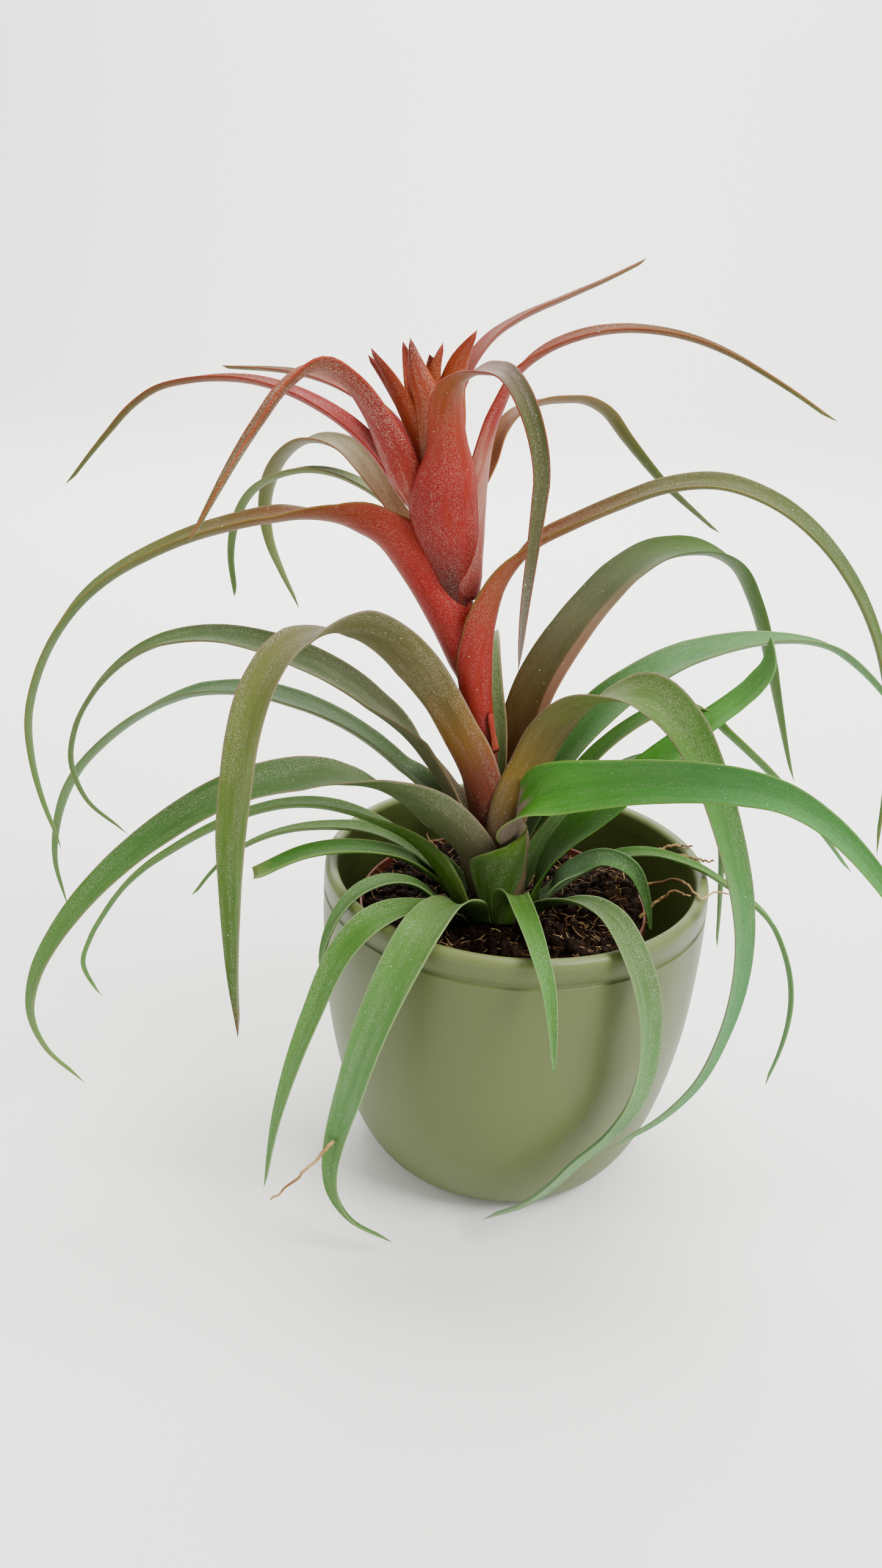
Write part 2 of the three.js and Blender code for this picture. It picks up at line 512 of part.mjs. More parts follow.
// Roots that have grown out over the rims, two straws of the peat, and a thread that clings to a leaf.
const ROOTS = [
  { name: "root_right",
    points: [[45, 7, 111], [58, 5, 116], [64, -17, 122.9], [65, -21, 123], [71, -15, 123.2], [75, -17, 123.6]] },
  { name: "root_right_front", points: [[46, -11, 107.9], [52, -9, 114.5], [57, -11, 119.6], [61.6, -17.5, 122.4]] },
  { name: "straw_right", points: [[54, 23, 119], [59, 22, 121.6], [66, 20.5, 122.9]] },
  { name: "straw_right_front", points: [[60, 13, 122.4], [66, 10.5, 122.9], [73, 8, 123.4]] },
  { name: "root_thread",
    points: [[-53.2, -80, 52.3], [-59.3, -85.5, 47], [-65.2, -89, 41.5], [-72.3, -90, 33.7]] },
];

add("glazed_pot", potGeometry(), 0x7d8a5c, 0.35);
add("nursery_pot", linerGeometry(), 0x7a3526, 0.5);
add("peat", peatGeometry(), 0x2c1c13, 0.95);

add("stem", stemGeometry(), 0x7a5a3a, 0.7);

for (const leaf of [...STEM_LEAVES, ...CROWN_LEAVES]) {
  add(leaf.name, leafGeometry(leaf), leaf.colour, 0.55);
}
for (const bract of HEAD_BRACTS) {
  add(bract.name, leafGeometry({ hug: 40, clasp: 6, open: 14, strips: 2, ...bract }), FLAME, 0.55);
}

for (const root of ROOTS) add(root.name, rootGeometry(root.points), 0x9a7a52, 0.8);

export default part;
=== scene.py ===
"""Looks of the potted tillandsia capitata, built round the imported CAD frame. Metres, +Z up, -Y to the viewer."""

import math
import random

import bpy
import numpy as np
from mathutils import Matrix, Vector, noise


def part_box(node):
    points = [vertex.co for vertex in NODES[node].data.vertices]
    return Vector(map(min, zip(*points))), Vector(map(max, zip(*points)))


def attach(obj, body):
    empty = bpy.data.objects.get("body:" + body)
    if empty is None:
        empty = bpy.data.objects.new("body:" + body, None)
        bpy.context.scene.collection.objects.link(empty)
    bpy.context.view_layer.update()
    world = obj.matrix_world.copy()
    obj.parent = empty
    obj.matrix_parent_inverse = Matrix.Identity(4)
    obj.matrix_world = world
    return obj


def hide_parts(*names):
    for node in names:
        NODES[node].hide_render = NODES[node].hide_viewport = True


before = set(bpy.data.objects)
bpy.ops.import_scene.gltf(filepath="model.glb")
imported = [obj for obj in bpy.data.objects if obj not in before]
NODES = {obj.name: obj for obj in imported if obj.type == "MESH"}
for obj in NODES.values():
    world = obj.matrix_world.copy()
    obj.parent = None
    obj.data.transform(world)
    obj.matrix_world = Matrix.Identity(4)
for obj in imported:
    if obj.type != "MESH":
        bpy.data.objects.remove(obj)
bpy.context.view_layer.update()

# Camera ---------------------------------------------------------------
# The eye that took the photograph, fitted to the ellipses of the pot's lip and foot: straight in front of the
# pot, 32 cm up, turned a little to the left and looking down at the leaves.
PHOTO_LONG_SIDE = 2569
PHOTO_FOCAL = 1930
SENSOR_WIDTH = 36
NEAREST_SEEN = 0.01
EYE = Vector((0.0, -0.3862, 0.3245))
EYE_YAW, EYE_PITCH, EYE_ROLL = (math.radians(angle) for angle in (-4.31, 24.28, 2.77))

ahead = Vector((
    math.sin(EYE_YAW) * math.cos(EYE_PITCH),
    math.cos(EYE_YAW) * math.cos(EYE_PITCH),
    -math.sin(EYE_PITCH),
))
level = ahead.cross(Vector((0, 0, 1))).normalized()
rise = level.cross(ahead)
eye_right = math.cos(EYE_ROLL) * level + math.sin(EYE_ROLL) * rise
eye_up = math.cos(EYE_ROLL) * rise - math.sin(EYE_ROLL) * level
camera = bpy.data.objects.new("camera", bpy.data.cameras.new("camera"))
camera.data.sensor_width = SENSOR_WIDTH
camera.data.lens = SENSOR_WIDTH * PHOTO_FOCAL / PHOTO_LONG_SIDE
camera.data.clip_start = NEAREST_SEEN
camera.matrix_world = Matrix.Translation(EYE) @ Matrix((eye_right, eye_up, -ahead)).transposed().to_4x4()
bpy.context.scene.collection.objects.link(camera)
bpy.context.scene.camera = camera

# Studio ---------------------------------------------------------------
# A pale floor that sweeps up into a wall far behind, in a pale room. The wall has a lamp of its own. The plant
# has a wide soft one high on the right, and two weaker ones on the left and behind.
FLOOR_HALF, FLOOR_COLOUR = 3.0, "eeedea"
SWEEP_RADIUS, SWEEP_STEPS = 0.8, 12
WALL_HEIGHT = 3.0
ROOM_COLOUR, ROOM_STRENGTH = (1.0, 0.985, 0.96, 1), 0.78
PLANT_MIDDLE, WALL_MIDDLE = Vector((0, 0, 0.14)), Vector((0, FLOOR_HALF, 0.9))
# Each lamp's place, what it points at, its shape, its size and its watts.
LAMPS = {
    "wall_lamp": (Vector((0, 0.9, 2.6)), WALL_MIDDLE, "SQUARE", 2.0, 270.0),
    "key_lamp": (Vector((0.85, -0.5, 1.3)), PLANT_MIDDLE, "DISK", 0.7, 38.0),
    "fill_lamp": (Vector((-1.3, -0.7, 0.9)), PLANT_MIDDLE, "DISK", 1.2, 7.0),
    "back_lamp": (Vector((-0.3, 1.3, 1.2)), PLANT_MIDDLE, "DISK", 1.0, 14.0),
}


def linear(code):
    """A colour written as on screen, such as "8a9266", in linear light."""
    values = [int(code[i:i + 2], 16) / 255 for i in (0, 2, 4)]
    return tuple(v / 12.92 if v <= 0.04045 else ((v + 0.055) / 1.055) ** 2.4 for v in values) + (1.0,)


class Wire:
    """A shader socket, so that shader maths reads as Python."""

    def __init__(self, tree, socket):
        self.tree, self.socket = tree, socket

    def node(self, kind, into=(), out=0, **settings):
        """Adds a node with its settings, puts values or wires into its inputs, and gives back one output."""
        made = self.tree.nodes.new(kind)
        for key, value in settings.items():
            if key == "ramp":
                stops = made.color_ramp.elements
                while len(stops) < len(value):
                    stops.new(0.5)
                for stop, (place, colour) in zip(stops, value):
                    stop.position, stop.color = place, colour
            else:
                setattr(made, key, value)
        for key, value in dict(into).items():
            if isinstance(value, Wire):
                self.tree.links.new(value.socket, made.inputs[key])
            else:
                made.inputs[key].default_value = value
        return Wire(self.tree, made.outputs[out])

    def maths(self, operation, *values):
        return self.node("ShaderNodeMath", enumerate(values), operation=operation)

    def __add__(self, other):
        return self.maths("ADD", self, other)

    def __sub__(self, other):
        return self.maths("SUBTRACT", self, other)

    def __rsub__(self, other):
        return self.maths("SUBTRACT", other, self)

    def __mul__(self, other):
        return self.maths("MULTIPLY", self, other)

    def __abs__(self):
        return self.maths("ABSOLUTE", self)

    __radd__, __rmul__ = __add__, __mul__

    def step(self, low, high):
        """0 below low and 1 above high, smooth between; the other way round where low is the larger."""
        return self.node("ShaderNodeMapRange", {0: self, 1: low, 2: high}, interpolation_type="SMOOTHSTEP")

    def mix(self, first, second, blend="MIX"):
        """Colours mixed, self being the share of the second."""
        return self.node("ShaderNodeMix", {0: self, 6: first, 7: second}, out=2, data_type="RGBA", blend_type=blend)

    def noise(self, scale, detail, roughness=0.5):
        """Soft noise where this wire is a place."""
        return self.node("ShaderNodeTexNoise", {
            "Vector": self, "Scale": scale, "Detail": detail, "Roughness": roughness}, out="Fac")

    def bump(self, strength, distance):
        return self.node("ShaderNodeBump", {"Height": self, "Strength": strength, "Distance": distance})


def new_finish(name, **constants):
    """A material with its plain shader values set, and a wire to start from."""
    finish = bpy.data.materials.new(name)
    finish.use_nodes = True
    shader = finish.node_tree.nodes["Principled BSDF"]
    for key, value in constants.items():
        shader.inputs[key.replace("_", " ")].default_value = value
    return finish, shader, Wire(finish.node_tree, None)


def paint(shader, wire, **wires):
    """Leads wires into the shader's sockets, such as Base_Color or Normal."""
    for key, value in wires.items():
        wire.tree.links.new(value.socket, shader.inputs[key.replace("_", " ")])


def mesh_piece(name, points, faces, smooth=True):
    """A new object at the origin from points and faces."""
    mesh = bpy.data.meshes.new(name)
    mesh.from_pydata([tuple(p) for p in points], [], faces)
    mesh.validate()
    if smooth:
        mesh.shade_smooth()
    piece = bpy.data.objects.new(name, mesh)
    bpy.context.scene.collection.objects.link(piece)
    return piece


sweep = [(-FLOOR_HALF, 0.0)]
for step in range(SWEEP_STEPS + 1):
    turn = math.radians(90 * step / SWEEP_STEPS)
    sweep.append((FLOOR_HALF - SWEEP_RADIUS + SWEEP_RADIUS * math.sin(turn), SWEEP_RADIUS * (1 - math.cos(turn))))
sweep.append((FLOOR_HALF, WALL_HEIGHT))
floor = mesh_piece(
    "floor",
    [(side * 2 * FLOOR_HALF, y, z) for y, z in sweep for side in (-1, 1)],
    [(2 * i, 2 * i + 1, 2 * i + 3, 2 * i + 2) for i in range(len(sweep) - 1)],
)
floor_finish, _, _ = new_finish("studio_floor", Base_Color=linear(FLOOR_COLOUR), Roughness=0.85)
floor.data.materials.append(floor_finish)

world = bpy.data.worlds.new("studio_room")
world.use_nodes = True
room = world.node_tree.nodes["Background"]
room.inputs["Color"].default_value = ROOM_COLOUR
room.inputs["Strength"].default_value = ROOM_STRENGTH
bpy.context.scene.world = world
for name, (place, target, shape, size, watts) in LAMPS.items():
    lamp = bpy.data.objects.new(name, bpy.data.lights.new(name, "AREA"))
    lamp.data.shape, lamp.data.size, lamp.data.energy = shape, size, watts
    lamp.location = place
    lamp.rotation_euler = (target - place).to_track_quat("-Z", "Y").to_euler()
    bpy.context.scene.collection.objects.link(lamp)

# Glazed pot -----------------------------------------------------------
# A slip-cast bowl in sage green satin glaze, with a rounded lip and one fine groove under it. The glaze
# gathers in the groove, and a painted highlight lightens the top of the lip all round.
POT_HALF, _, POT_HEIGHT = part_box("glazed_pot")[1]
POT_WALL, POT_FLOOR_Z, POT_SIDES = 0.0048, 0.006, 192
FOOT_RADIUS, FOOT_BEVEL_IN, FOOT_BEVEL_UP = 0.041, 0.001, 0.0002
FOOT_INNER, FLOOR_OUTER, FLOOR_INNER = 0.02, 0.03, 0.002
LIP_OUTER, LIP_HALF_WIDTH = POT_HALF - 0.0004, 0.0024
GROOVE_Z, GROOVE_EDGE = POT_HEIGHT - 0.009, LIP_OUTER + 0.0003
GROOVE_DEPTH, GROOVE_HALF = 0.0005, 0.0011
GATHERED_HALF, LIP_HIGHLIGHT_FROM_Z = 0.0016, POT_HEIGHT - 0.004
GLAZE, GLAZE_PALE, GLAZE_GATHERED, GLAZE_LIP_HIGHLIGHT, GLAZE_FLECK = "4b5528", "525c2d", "434d26", "7a8550", "48522a"
# The belly, as the share of the pot's height and the radius there.
BELLY = [(0.0, 0.0425), (0.012, 0.0446), (0.04, 0.050), (0.1, 0.0552), (0.2, 0.0604), (0.35, 0.0652),
         (0.55, 0.069), (0.8, 0.0706), (0.915, 0.0705)]


def smooth_line(points, count):
    """An even Catmull-Rom line of count points through rows of any width."""
    rows = np.array(points, float)
    rows = np.vstack([2 * rows[0] - rows[1], rows, 2 * rows[-1] - rows[-2]])
    reach = np.linalg.norm(np.diff(rows[:, :3], axis=0), axis=1) ** 0.5
    knots = np.concatenate([[0], np.cumsum(np.maximum(reach, 1e-7))])
    fine = []
    for i in range(1, len(rows) - 2):
        for t in np.linspace(knots[i], knots[i + 1], 24, endpoint=i == len(rows) - 3):
            a = [rows[j] + (rows[j + 1] - rows[j]) * (t - knots[j]) / (knots[j + 1] - knots[j])
                 for j in (i - 1, i, i + 1)]
            b = [a[k] + (a[k + 1] - a[k]) * (t - knots[i + k - 1]) / (knots[i + k + 1] - knots[i + k - 1])
                 for k in (0, 1)]
            fine.append(b[0] + (b[1] - b[0]) * (t - knots[i]) / (knots[i + 1] - knots[i]))
    fine = np.array(fine)
    run = np.concatenate([[0], np.cumsum(np.linalg.norm(np.diff(fine[:, :3], axis=0), axis=1))])
    even = np.linspace(0, run[-1], count)
    return np.stack([np.interp(even, run, fine[:, k]) for k in range(fine.shape[1])], 1), run[-1]


def turned(name, profile, sides, centre=(0.0, 0.0)):
    """A closed turned body from (radius, height) corners, outer foot first, closed on the axis at both ends."""
    points = [(centre[0], centre[1], profile[0][1])]
    for radius, height in profile:
        for side in range(sides):
            turn = 2 * math.pi * side / sides
            points.append((centre[0] + radius * math.cos(turn), centre[1] + radius * math.sin(turn), height))
    points.append((centre[0], centre[1], profile[-1][1]))
    faces = []
    for side in range(sides):
        after = (side + 1) % sides
        faces.append((0, 1 + after, 1 + side))
        for ring in range(len(profile) - 1):
            near, far = 1 + ring * sides, 1 + (ring + 1) * sides
            faces.append((near + side, near + after, far + after, far + side))
        last = 1 + (len(profile) - 1) * sides
        faces.append((len(points) - 1, last + side, last + after))
    return mesh_piece(name, points, faces)


belly, _ = smooth_line([(radius, share * POT_HEIGHT, 0) for share, radius in BELLY], 40)
outside = [(FOOT_INNER, 0.0), (FOOT_RADIUS - FOOT_BEVEL_IN, 0.0), (FOOT_RADIUS, FOOT_BEVEL_UP)]
outside += [(r, z) for r, z, _ in belly]
groove = [(GROOVE_EDGE - GROOVE_DEPTH * math.sin(t) ** 1.5, GROOVE_Z - GROOVE_HALF * math.cos(t))
          for t in np.linspace(0, math.pi, 11)]
lip = [(LIP_OUTER - LIP_HALF_WIDTH + LIP_HALF_WIDTH * math.cos(t), POT_HEIGHT - LIP_HALF_WIDTH * (1 - math.sin(t)))
       for t in np.linspace(0, math.pi, 17)]
inside = [(r - POT_WALL, max(z, POT_FLOOR_Z)) for r, z, _ in belly[::-1] if z > POT_FLOOR_Z]
inside += [(FLOOR_OUTER, POT_FLOOR_Z), (FLOOR_INNER, POT_FLOOR_Z)]
pot = turned("pot", outside + groove + lip + inside, POT_SIDES)

glaze, shader, wire = new_finish("sage_glaze", Specular_IOR_Level=0.32, Coat_Weight=0.05, Coat_Roughness=0.3)
place = wire.node("ShaderNodeTexCoord", out="Object")
height = wire.node("ShaderNodeSeparateXYZ", {0: place}, out="Z")
cloud = place.noise(24.0, 3.0)
fleck = place.noise(900.0, 1.0).step(0.66, 0.74)
gathered = height.step(GROOVE_Z - GATHERED_HALF, GROOVE_Z) * height.step(GROOVE_Z + GATHERED_HALF, GROOVE_Z)
# A painted highlight on the lip: its top 4 mm is lighter all round.
lip_highlight = height.step(LIP_HIGHLIGHT_FROM_Z, POT_HEIGHT)
colour = cloud.mix(linear(GLAZE), linear(GLAZE_PALE))
colour = (gathered * 0.5).mix(colour, linear(GLAZE_GATHERED))
colour = (lip_highlight * 0.35).mix(colour, linear(GLAZE_LIP_HIGHLIGHT))
colour = (fleck * 0.25).mix(colour, linear(GLAZE_FLECK))
paint(shader, wire, Base_Color=colour, Roughness=cloud * 0.12 + 0.42,
      Normal=place.noise(60.0, 2.0).bump(0.12, 0.0004))
pot.data.materials.append(glaze)
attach(pot, "root")
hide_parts("glazed_pot")

# Nursery pot ----------------------------------------------------------
# A thin grower's pot of brown plastic, vacuum formed, with a rolled collar. It stands loose in the glazed pot,
# full of peat, and only its rim shows.
LINER_LOW, LINER_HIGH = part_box("nursery_pot")
LINER_CENTRE = ((LINER_LOW.x + LINER_HIGH.x) / 2, (LINER_LOW.y + LINER_HIGH.y) / 2)
LINER_RADIUS = (LINER_HIGH.x - LINER_LOW.x) / 2
LINER_TOP, LINER_FOOT = LINER_HIGH.z, LINER_LOW.z
LINER_FLOOR_Z, LINER_SIDES = LINER_FOOT + 0.0014, 128
ROLL_RADIUS = 0.0006
COLLAR_FOOT_Z, STEP_FOOT_Z = LINER_TOP - 0.0074, LINER_TOP - 0.009
PLASTIC, PLASTIC_SCUFFED = "60301f", "3c1a10"
roll = [(LINER_RADIUS - ROLL_RADIUS + ROLL_RADIUS * math.cos(t), LINER_TOP - ROLL_RADIUS + ROLL_RADIUS * math.sin(t))
        for t in np.linspace(0, math.pi, 9)]
# Its section, as radius and height: up the outside from the foot, over the roll and down the inside.
liner = turned("grower_pot", [
    (0.01, LINER_FOOT), (0.0355, LINER_FOOT), (0.036, LINER_FOOT + 0.0006),
    (LINER_RADIUS - 0.002, STEP_FOOT_Z), (LINER_RADIUS - 0.0002, LINER_TOP - 0.0078),
    (LINER_RADIUS, COLLAR_FOOT_Z), *roll, (LINER_RADIUS - 0.0014, COLLAR_FOOT_Z),
    (LINER_RADIUS - 0.0032, STEP_FOOT_Z), (0.0348, LINER_FLOOR_Z), (0.002, LINER_FLOOR_Z)], LINER_SIDES, LINER_CENTRE)
plastic, shader, wire = new_finish("brown_plastic", Roughness=0.45, Specular_IOR_Level=0.3)
place = wire.node("ShaderNodeTexCoord", out="Object")
scuff = place.noise(160.0, 4.0).step(0.5, 0.75)
colour = (scuff * 0.5).mix(linear(PLASTIC), linear(PLASTIC_SCUFFED))
paint(shader, wire, Base_Color=colour, Roughness=scuff * 0.3 + 0.4)
liner.data.materials.append(plastic)
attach(liner, "root")
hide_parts("nursery_pot")

# Peat -----------------------------------------------------------------
# Moist brown peat: a crumbly top with clods, loose crumbs and straw-coloured coir fibres. It is heaped
# a little on the right. The top is one grid of rings, and crumbs and fibres are scattered on it by a rule.
CROWN = Vector((-0.006, -0.009, 0.0))
CALM_FROM, CALM_OVER, CALMEST = 0.008, 0.012, 0.35
PEAT_TOP, PEAT_RADIUS = 0.1046, 0.0508
PEAT_RINGS, PEAT_SPOKES = 110, 300
PEAT_FOOT_Z = 0.0082
# Where the root ball narrows inside its pot: radius and height, from the top down.
PEAT_SIDE = ((0.0494, 0.098), (0.0342, PEAT_FOOT_Z))
EDGE_FROM, EDGE_OVER, EDGE_DROP = 0.94, 0.06, 0.0012
HEAP_AT, HEAP_SPREAD, HEAP_HEIGHT = (0.036, 0.004), (0.011, 0.02), 0.009
CLOD_FREQUENCY, CLOD_HEIGHT = 120, 0.0036
CRUMB_FREQUENCY, CRUMB_HEIGHT = 420, 0.0021
PEAT_DARK, PEAT_BROWN, PEAT_PATCH, PEAT_BITS = "080301", "2a170a", "331c0c", "5c3d1e"
STRAW_PALE, STRAW_BROWN, STRAW_DARK = "b89664", "6c4828", "3b2516"


def peat_height(x, y):
    """How high the peat lies at a place, calm where the plant's foot stands."""
    from_crown = math.hypot(x - CROWN.x, y - CROWN.y)
    heap = math.exp(-sum(((at - middle) / spread) ** 2 for at, middle, spread in zip((x, y), HEAP_AT, HEAP_SPREAD)))
    here = Vector((x, y, 0))
    clod = noise.fractal(here * CLOD_FREQUENCY, 1.0, 2.0, 3) * CLOD_HEIGHT
    crumb = noise.fractal(here * CRUMB_FREQUENCY, 0.7, 2.1, 4) * CRUMB_HEIGHT
    rough = CALMEST + (1 - CALMEST) * min(1.0, max(0.0, (from_crown - CALM_FROM) / CALM_OVER))
    return PEAT_TOP + HEAP_HEIGHT * heap + (clod + crumb) * rough


spokes = []
for spoke in range(PEAT_SPOKES):
    turn = 2 * math.pi * spoke / PEAT_SPOKES
    spokes.append((math.cos(turn), math.sin(turn)))
points = []
for ring in range(1, PEAT_RINGS + 1):
    radius = PEAT_RADIUS * ring / PEAT_RINGS
    edge = max(0.0, radius / PEAT_RADIUS - EDGE_FROM) / EDGE_OVER
    for east, north in spokes:
        x, y = LINER_CENTRE[0] + radius * east, LINER_CENTRE[1] + radius * north
        points.append((x, y, peat_height(x, y) - EDGE_DROP * edge))
for radius, height in PEAT_SIDE:
    points += [(LINER_CENTRE[0] + radius * east, LINER_CENTRE[1] + radius * north, height) for east, north in spokes]
points += [(*LINER_CENTRE, peat_height(*LINER_CENTRE)), (*LINER_CENTRE, PEAT_FOOT_Z)]
faces = []
last = (PEAT_RINGS + 1) * PEAT_SPOKES
for spoke in range(PEAT_SPOKES):
    after = (spoke + 1) % PEAT_SPOKES
    faces.append((len(points) - 2, spoke, after))
    for near in range(0, last, PEAT_SPOKES):
        far = near + PEAT_SPOKES
        faces.append((near + spoke, far + spoke, far + after, near + after))
    faces.append((len(points) - 1, last + after, last + spoke))
peat = mesh_piece("peat_top", points, faces)

peat_finish, shader, wire = new_finish("moist_peat", Roughness=0.9, Specular_IOR_Level=0.12)
place = wire.node("ShaderNodeTexCoord", out="Object")
grain = place.noise(700.0, 5.0)
patch = place.noise(120.0, 3.0)
bits = wire.node("ShaderNodeTexVoronoi", {"Vector": place, "Scale": 420.0}, out="Distance").step(0.28, 0.12)
colour = grain.step(0.3, 0.75).mix(linear(PEAT_DARK), linear(PEAT_BROWN))
colour = (patch.step(0.55, 0.8) * 0.6).mix(colour, linear(PEAT_PATCH))
colour = (bits * patch.step(0.5, 0.7) * 0.35).mix(colour, linear(PEAT_BITS))
paint(shader, wire, Base_Color=colour, Roughness=0.98 - patch * 0.25, Normal=(grain + bits * 0.5).bump(0.8, 0.0008))
peat.data.materials.append(peat_finish)

straw_finish, shader, wire = new_finish("dry_straw", Roughness=0.75, Specular_IOR_Level=0.2)
place = wire.node("ShaderNodeTexCoord", out="Object")
tone = place.noise(95.0, 2.0)
fine = place.noise(1500.0, 2.0)
colour = tone.step(0.35, 0.68).mix(linear(STRAW_PALE), linear(STRAW_BROWN))
colour = (fine.step(0.4, 0.6) * 0.35).mix(colour, linear(STRAW_DARK))
paint(shader, wire, Base_Color=colour, Normal=fine.bump(0.5, 0.0002))


def tree_maker(name, inputs):
    """A new Geometry Nodes tree with a mesh input, named inputs and a mesh output, and a node adder."""
    tree = bpy.data.node_groups.new(name, "GeometryNodeTree")
    tree.interface.new_socket("Geometry", in_out="INPUT", socket_type="NodeSocketGeometry")
    for title, kind in inputs:
        tree.interface.new_socket(title, in_out="INPUT", socket_type="NodeSocket" + kind)
    tree.interface.new_socket("Geometry", in_out="OUTPUT", socket_type="NodeSocketGeometry")
    given = tree.nodes.new("NodeGroupInput").outputs

    def add(kind, into=(), out=0, **settings):
        made = tree.nodes.new(kind)
        for key, value in settings.items():
            setattr(made, key, value)
        for key, value in dict(into).items():
            if isinstance(value, bpy.types.NodeSocket):
                tree.links.new(value, made.inputs[key])
            else:
                made.inputs[key].default_value = value
        return made.outputs[out] if out is not None else made

    return tree, given, add


def grown(piece, tree, values, name):
    """Runs a tree on a piece with values by input name, and gives a new plain mesh object."""
    modifier = piece.modifiers.new(name, "NODES")
    modifier.node_group = tree
    for socket in tree.interface.items_tree:
        if socket.in_out == "INPUT" and socket.name in values:
            modifier[socket.identifier] = values[socket.name]
    state = bpy.context.evaluated_depsgraph_get()
    mesh = bpy.data.meshes.new_from_object(piece.evaluated_get(state), preserve_all_data_layers=True, depsgraph=state)
    piece.modifiers.remove(modifier)
    mesh.name = name
    made = bpy.data.objects.new(name, mesh)
    bpy.context.scene.collection.objects.link(made)
    return made


# Litter lies on faces that look up, above the lowest height asked for.
UP_SHARE, LITTER_FROM_Z = 0.15, 0.1
FULL_TURN = 6.283
tree, given, add = tree_maker("scatter_litter", [
    ("Litter", "Object"), ("Density", "Float"), ("Smallest", "Float"), ("Largest", "Float"), ("Stand", "Float"),
    ("Lowest", "Float"), ("Seed", "Int"), ("Finish", "Material")])
top = add("GeometryNodeInputNormal")
up_share = add("ShaderNodeSeparateXYZ", {0: top}, out="Z")
high = add("ShaderNodeSeparateXYZ", {0: add("GeometryNodeInputPosition")}, out="Z")
is_top = add("FunctionNodeBooleanMath", {
    0: add("FunctionNodeCompare", {0: up_share, 1: UP_SHARE}),
    1: add("FunctionNodeCompare", {0: high, 1: given["Lowest"]})}, operation="AND")
spots = add("GeometryNodeDistributePointsOnFaces", {
    "Mesh": given["Geometry"], "Selection": is_top, "Density": given["Density"], "Seed": given["Seed"]}, out=None)
one = add("GeometryNodeObjectInfo", {"Object": given["Litter"]}, out="Geometry")
lean = add("FunctionNodeRandomValue", {0: (0.0, 0.0, 0.0), 1: (1.0, 1.0, 1.0), "Seed": given["Seed"]},
           data_type="FLOAT_VECTOR")
spread = add("ShaderNodeVectorMath", {0: lean, 1: (0.5, 0.5, 0.0)}, operation="SUBTRACT")
wide = add("ShaderNodeCombineXYZ", {0: given["Stand"], 1: given["Stand"], 2: FULL_TURN})
turn = add("ShaderNodeVectorMath", {0: spread, 1: wide}, operation="MULTIPLY")
size = add("FunctionNodeRandomValue", {2: given["Smallest"], 3: given["Largest"], "Seed": given["Seed"]}, out=1)
laid = add("GeometryNodeInstanceOnPoints", {
    "Points": spots.outputs["Points"], "Instance": one, "Rotation": turn, "Scale": size})
real = add("GeometryNodeRealizeInstances", {"Geometry": laid})
shaded = add("GeometryNodeSetShadeSmooth", {0: real})
dressed = add("GeometryNodeSetMaterial", {"Geometry": shaded, "Material": given["Finish"]})
add("NodeGroupOutput", {0: dressed}, out=None)


def crumb_shape():
    """One angular crumb, a dented ball of few faces."""
    draw, sides, radius = random.Random(4), 6, 0.89
    points = [(0, 0, 1), (0, 0, -1)]
    for level_z, offset in ((0.45, 0), (-0.45, 0.5)):
        for i in range(sides):
            turn = 2 * math.pi * (i + offset) / sides
            points.append((radius * math.cos(turn), radius * math.sin(turn), level_z))
    points = [Vector(p) * draw.uniform(0.7, 1.15) for p in points]
    faces = []
    for i in range(sides):
        after = (i + 1) % sides
        faces += [(0, 2 + i, 2 + after), (2 + i, 8 + i, 2 + after)]
        faces += [(2 + after, 8 + i, 8 + after), (1, 8 + after, 8 + i)]
    return mesh_piece("crumb_shape", points, faces, smooth=False)


def tube(points, radii, sides):
    """Points and faces of a closed tube along a line, with a radius at each point."""
    line = np.array(points, float)
    ahead = np.gradient(line, axis=0)
    ahead /= np.linalg.norm(ahead, axis=1)[:, None]
    side = np.cross(ahead[0], (0.31, 0.2, 0.93))
    rings = []
    for here, along, radius in zip(line, ahead, radii):
        side = side - along * (side @ along)
        side /= np.linalg.norm(side)
        other = np.cross(along, side)
        for i in range(sides):
            turn = 2 * math.pi * i / sides
            rings.append(here + radius * (math.cos(turn) * side + math.sin(turn) * other))
    faces = [tuple(range(sides))[::-1], tuple(range(len(rings) - sides, len(rings)))]
    for ring in range(len(line) - 1):
        for i in range(sides):
            near, after = ring * sides + i, ring * sides + (i + 1) % sides
            faces.append((near, after, after + sides, near + sides))
    return rings, faces


def fibre_shape():
    """One curved coir fibre, a unit long, lying along X."""
    line = [(t - 0.5, 0.12 * math.sin(3.1 * t), 0.06 * math.sin(5.2 * t + 0.6)) for t in np.linspace(0, 1, 7)]
    radii = [0.022 * (1 - 0.6 * abs(2 * t - 1) ** 2) for t in np.linspace(0, 1, 7)]
    return mesh_piece("fibre_shape", *tube(line, radii, 4))


crumb, fibre = crumb_shape(), fibre_shape()
# Each litter's shape, number per square metre, smallest and largest size, how far it may stand up, seed and finish.
LITTER = {
    "peat_crumbs": (crumb, 260000, 0.0003, 0.0011, FULL_TURN, 3, peat_finish),
    "peat_clods": (crumb, 42000, 0.0010, 0.0032, FULL_TURN, 5, peat_finish),
    "peat_fibres": (fibre, 70000, 0.002, 0.0115, 1.5, 7, straw_finish),
}
LITTER_INPUTS = ("Litter", "Density", "Smallest", "Largest", "Stand", "Seed", "Finish")
litter = [grown(peat, tree, {**dict(zip(LITTER_INPUTS, values)), "Lowest": LITTER_FROM_Z}, name)
          for name, values in LITTER.items()]
for shape in (crumb, fibre):
    bpy.data.objects.remove(shape)
for piece in (peat, *litter):
    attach(piece, "root")
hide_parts("peat")

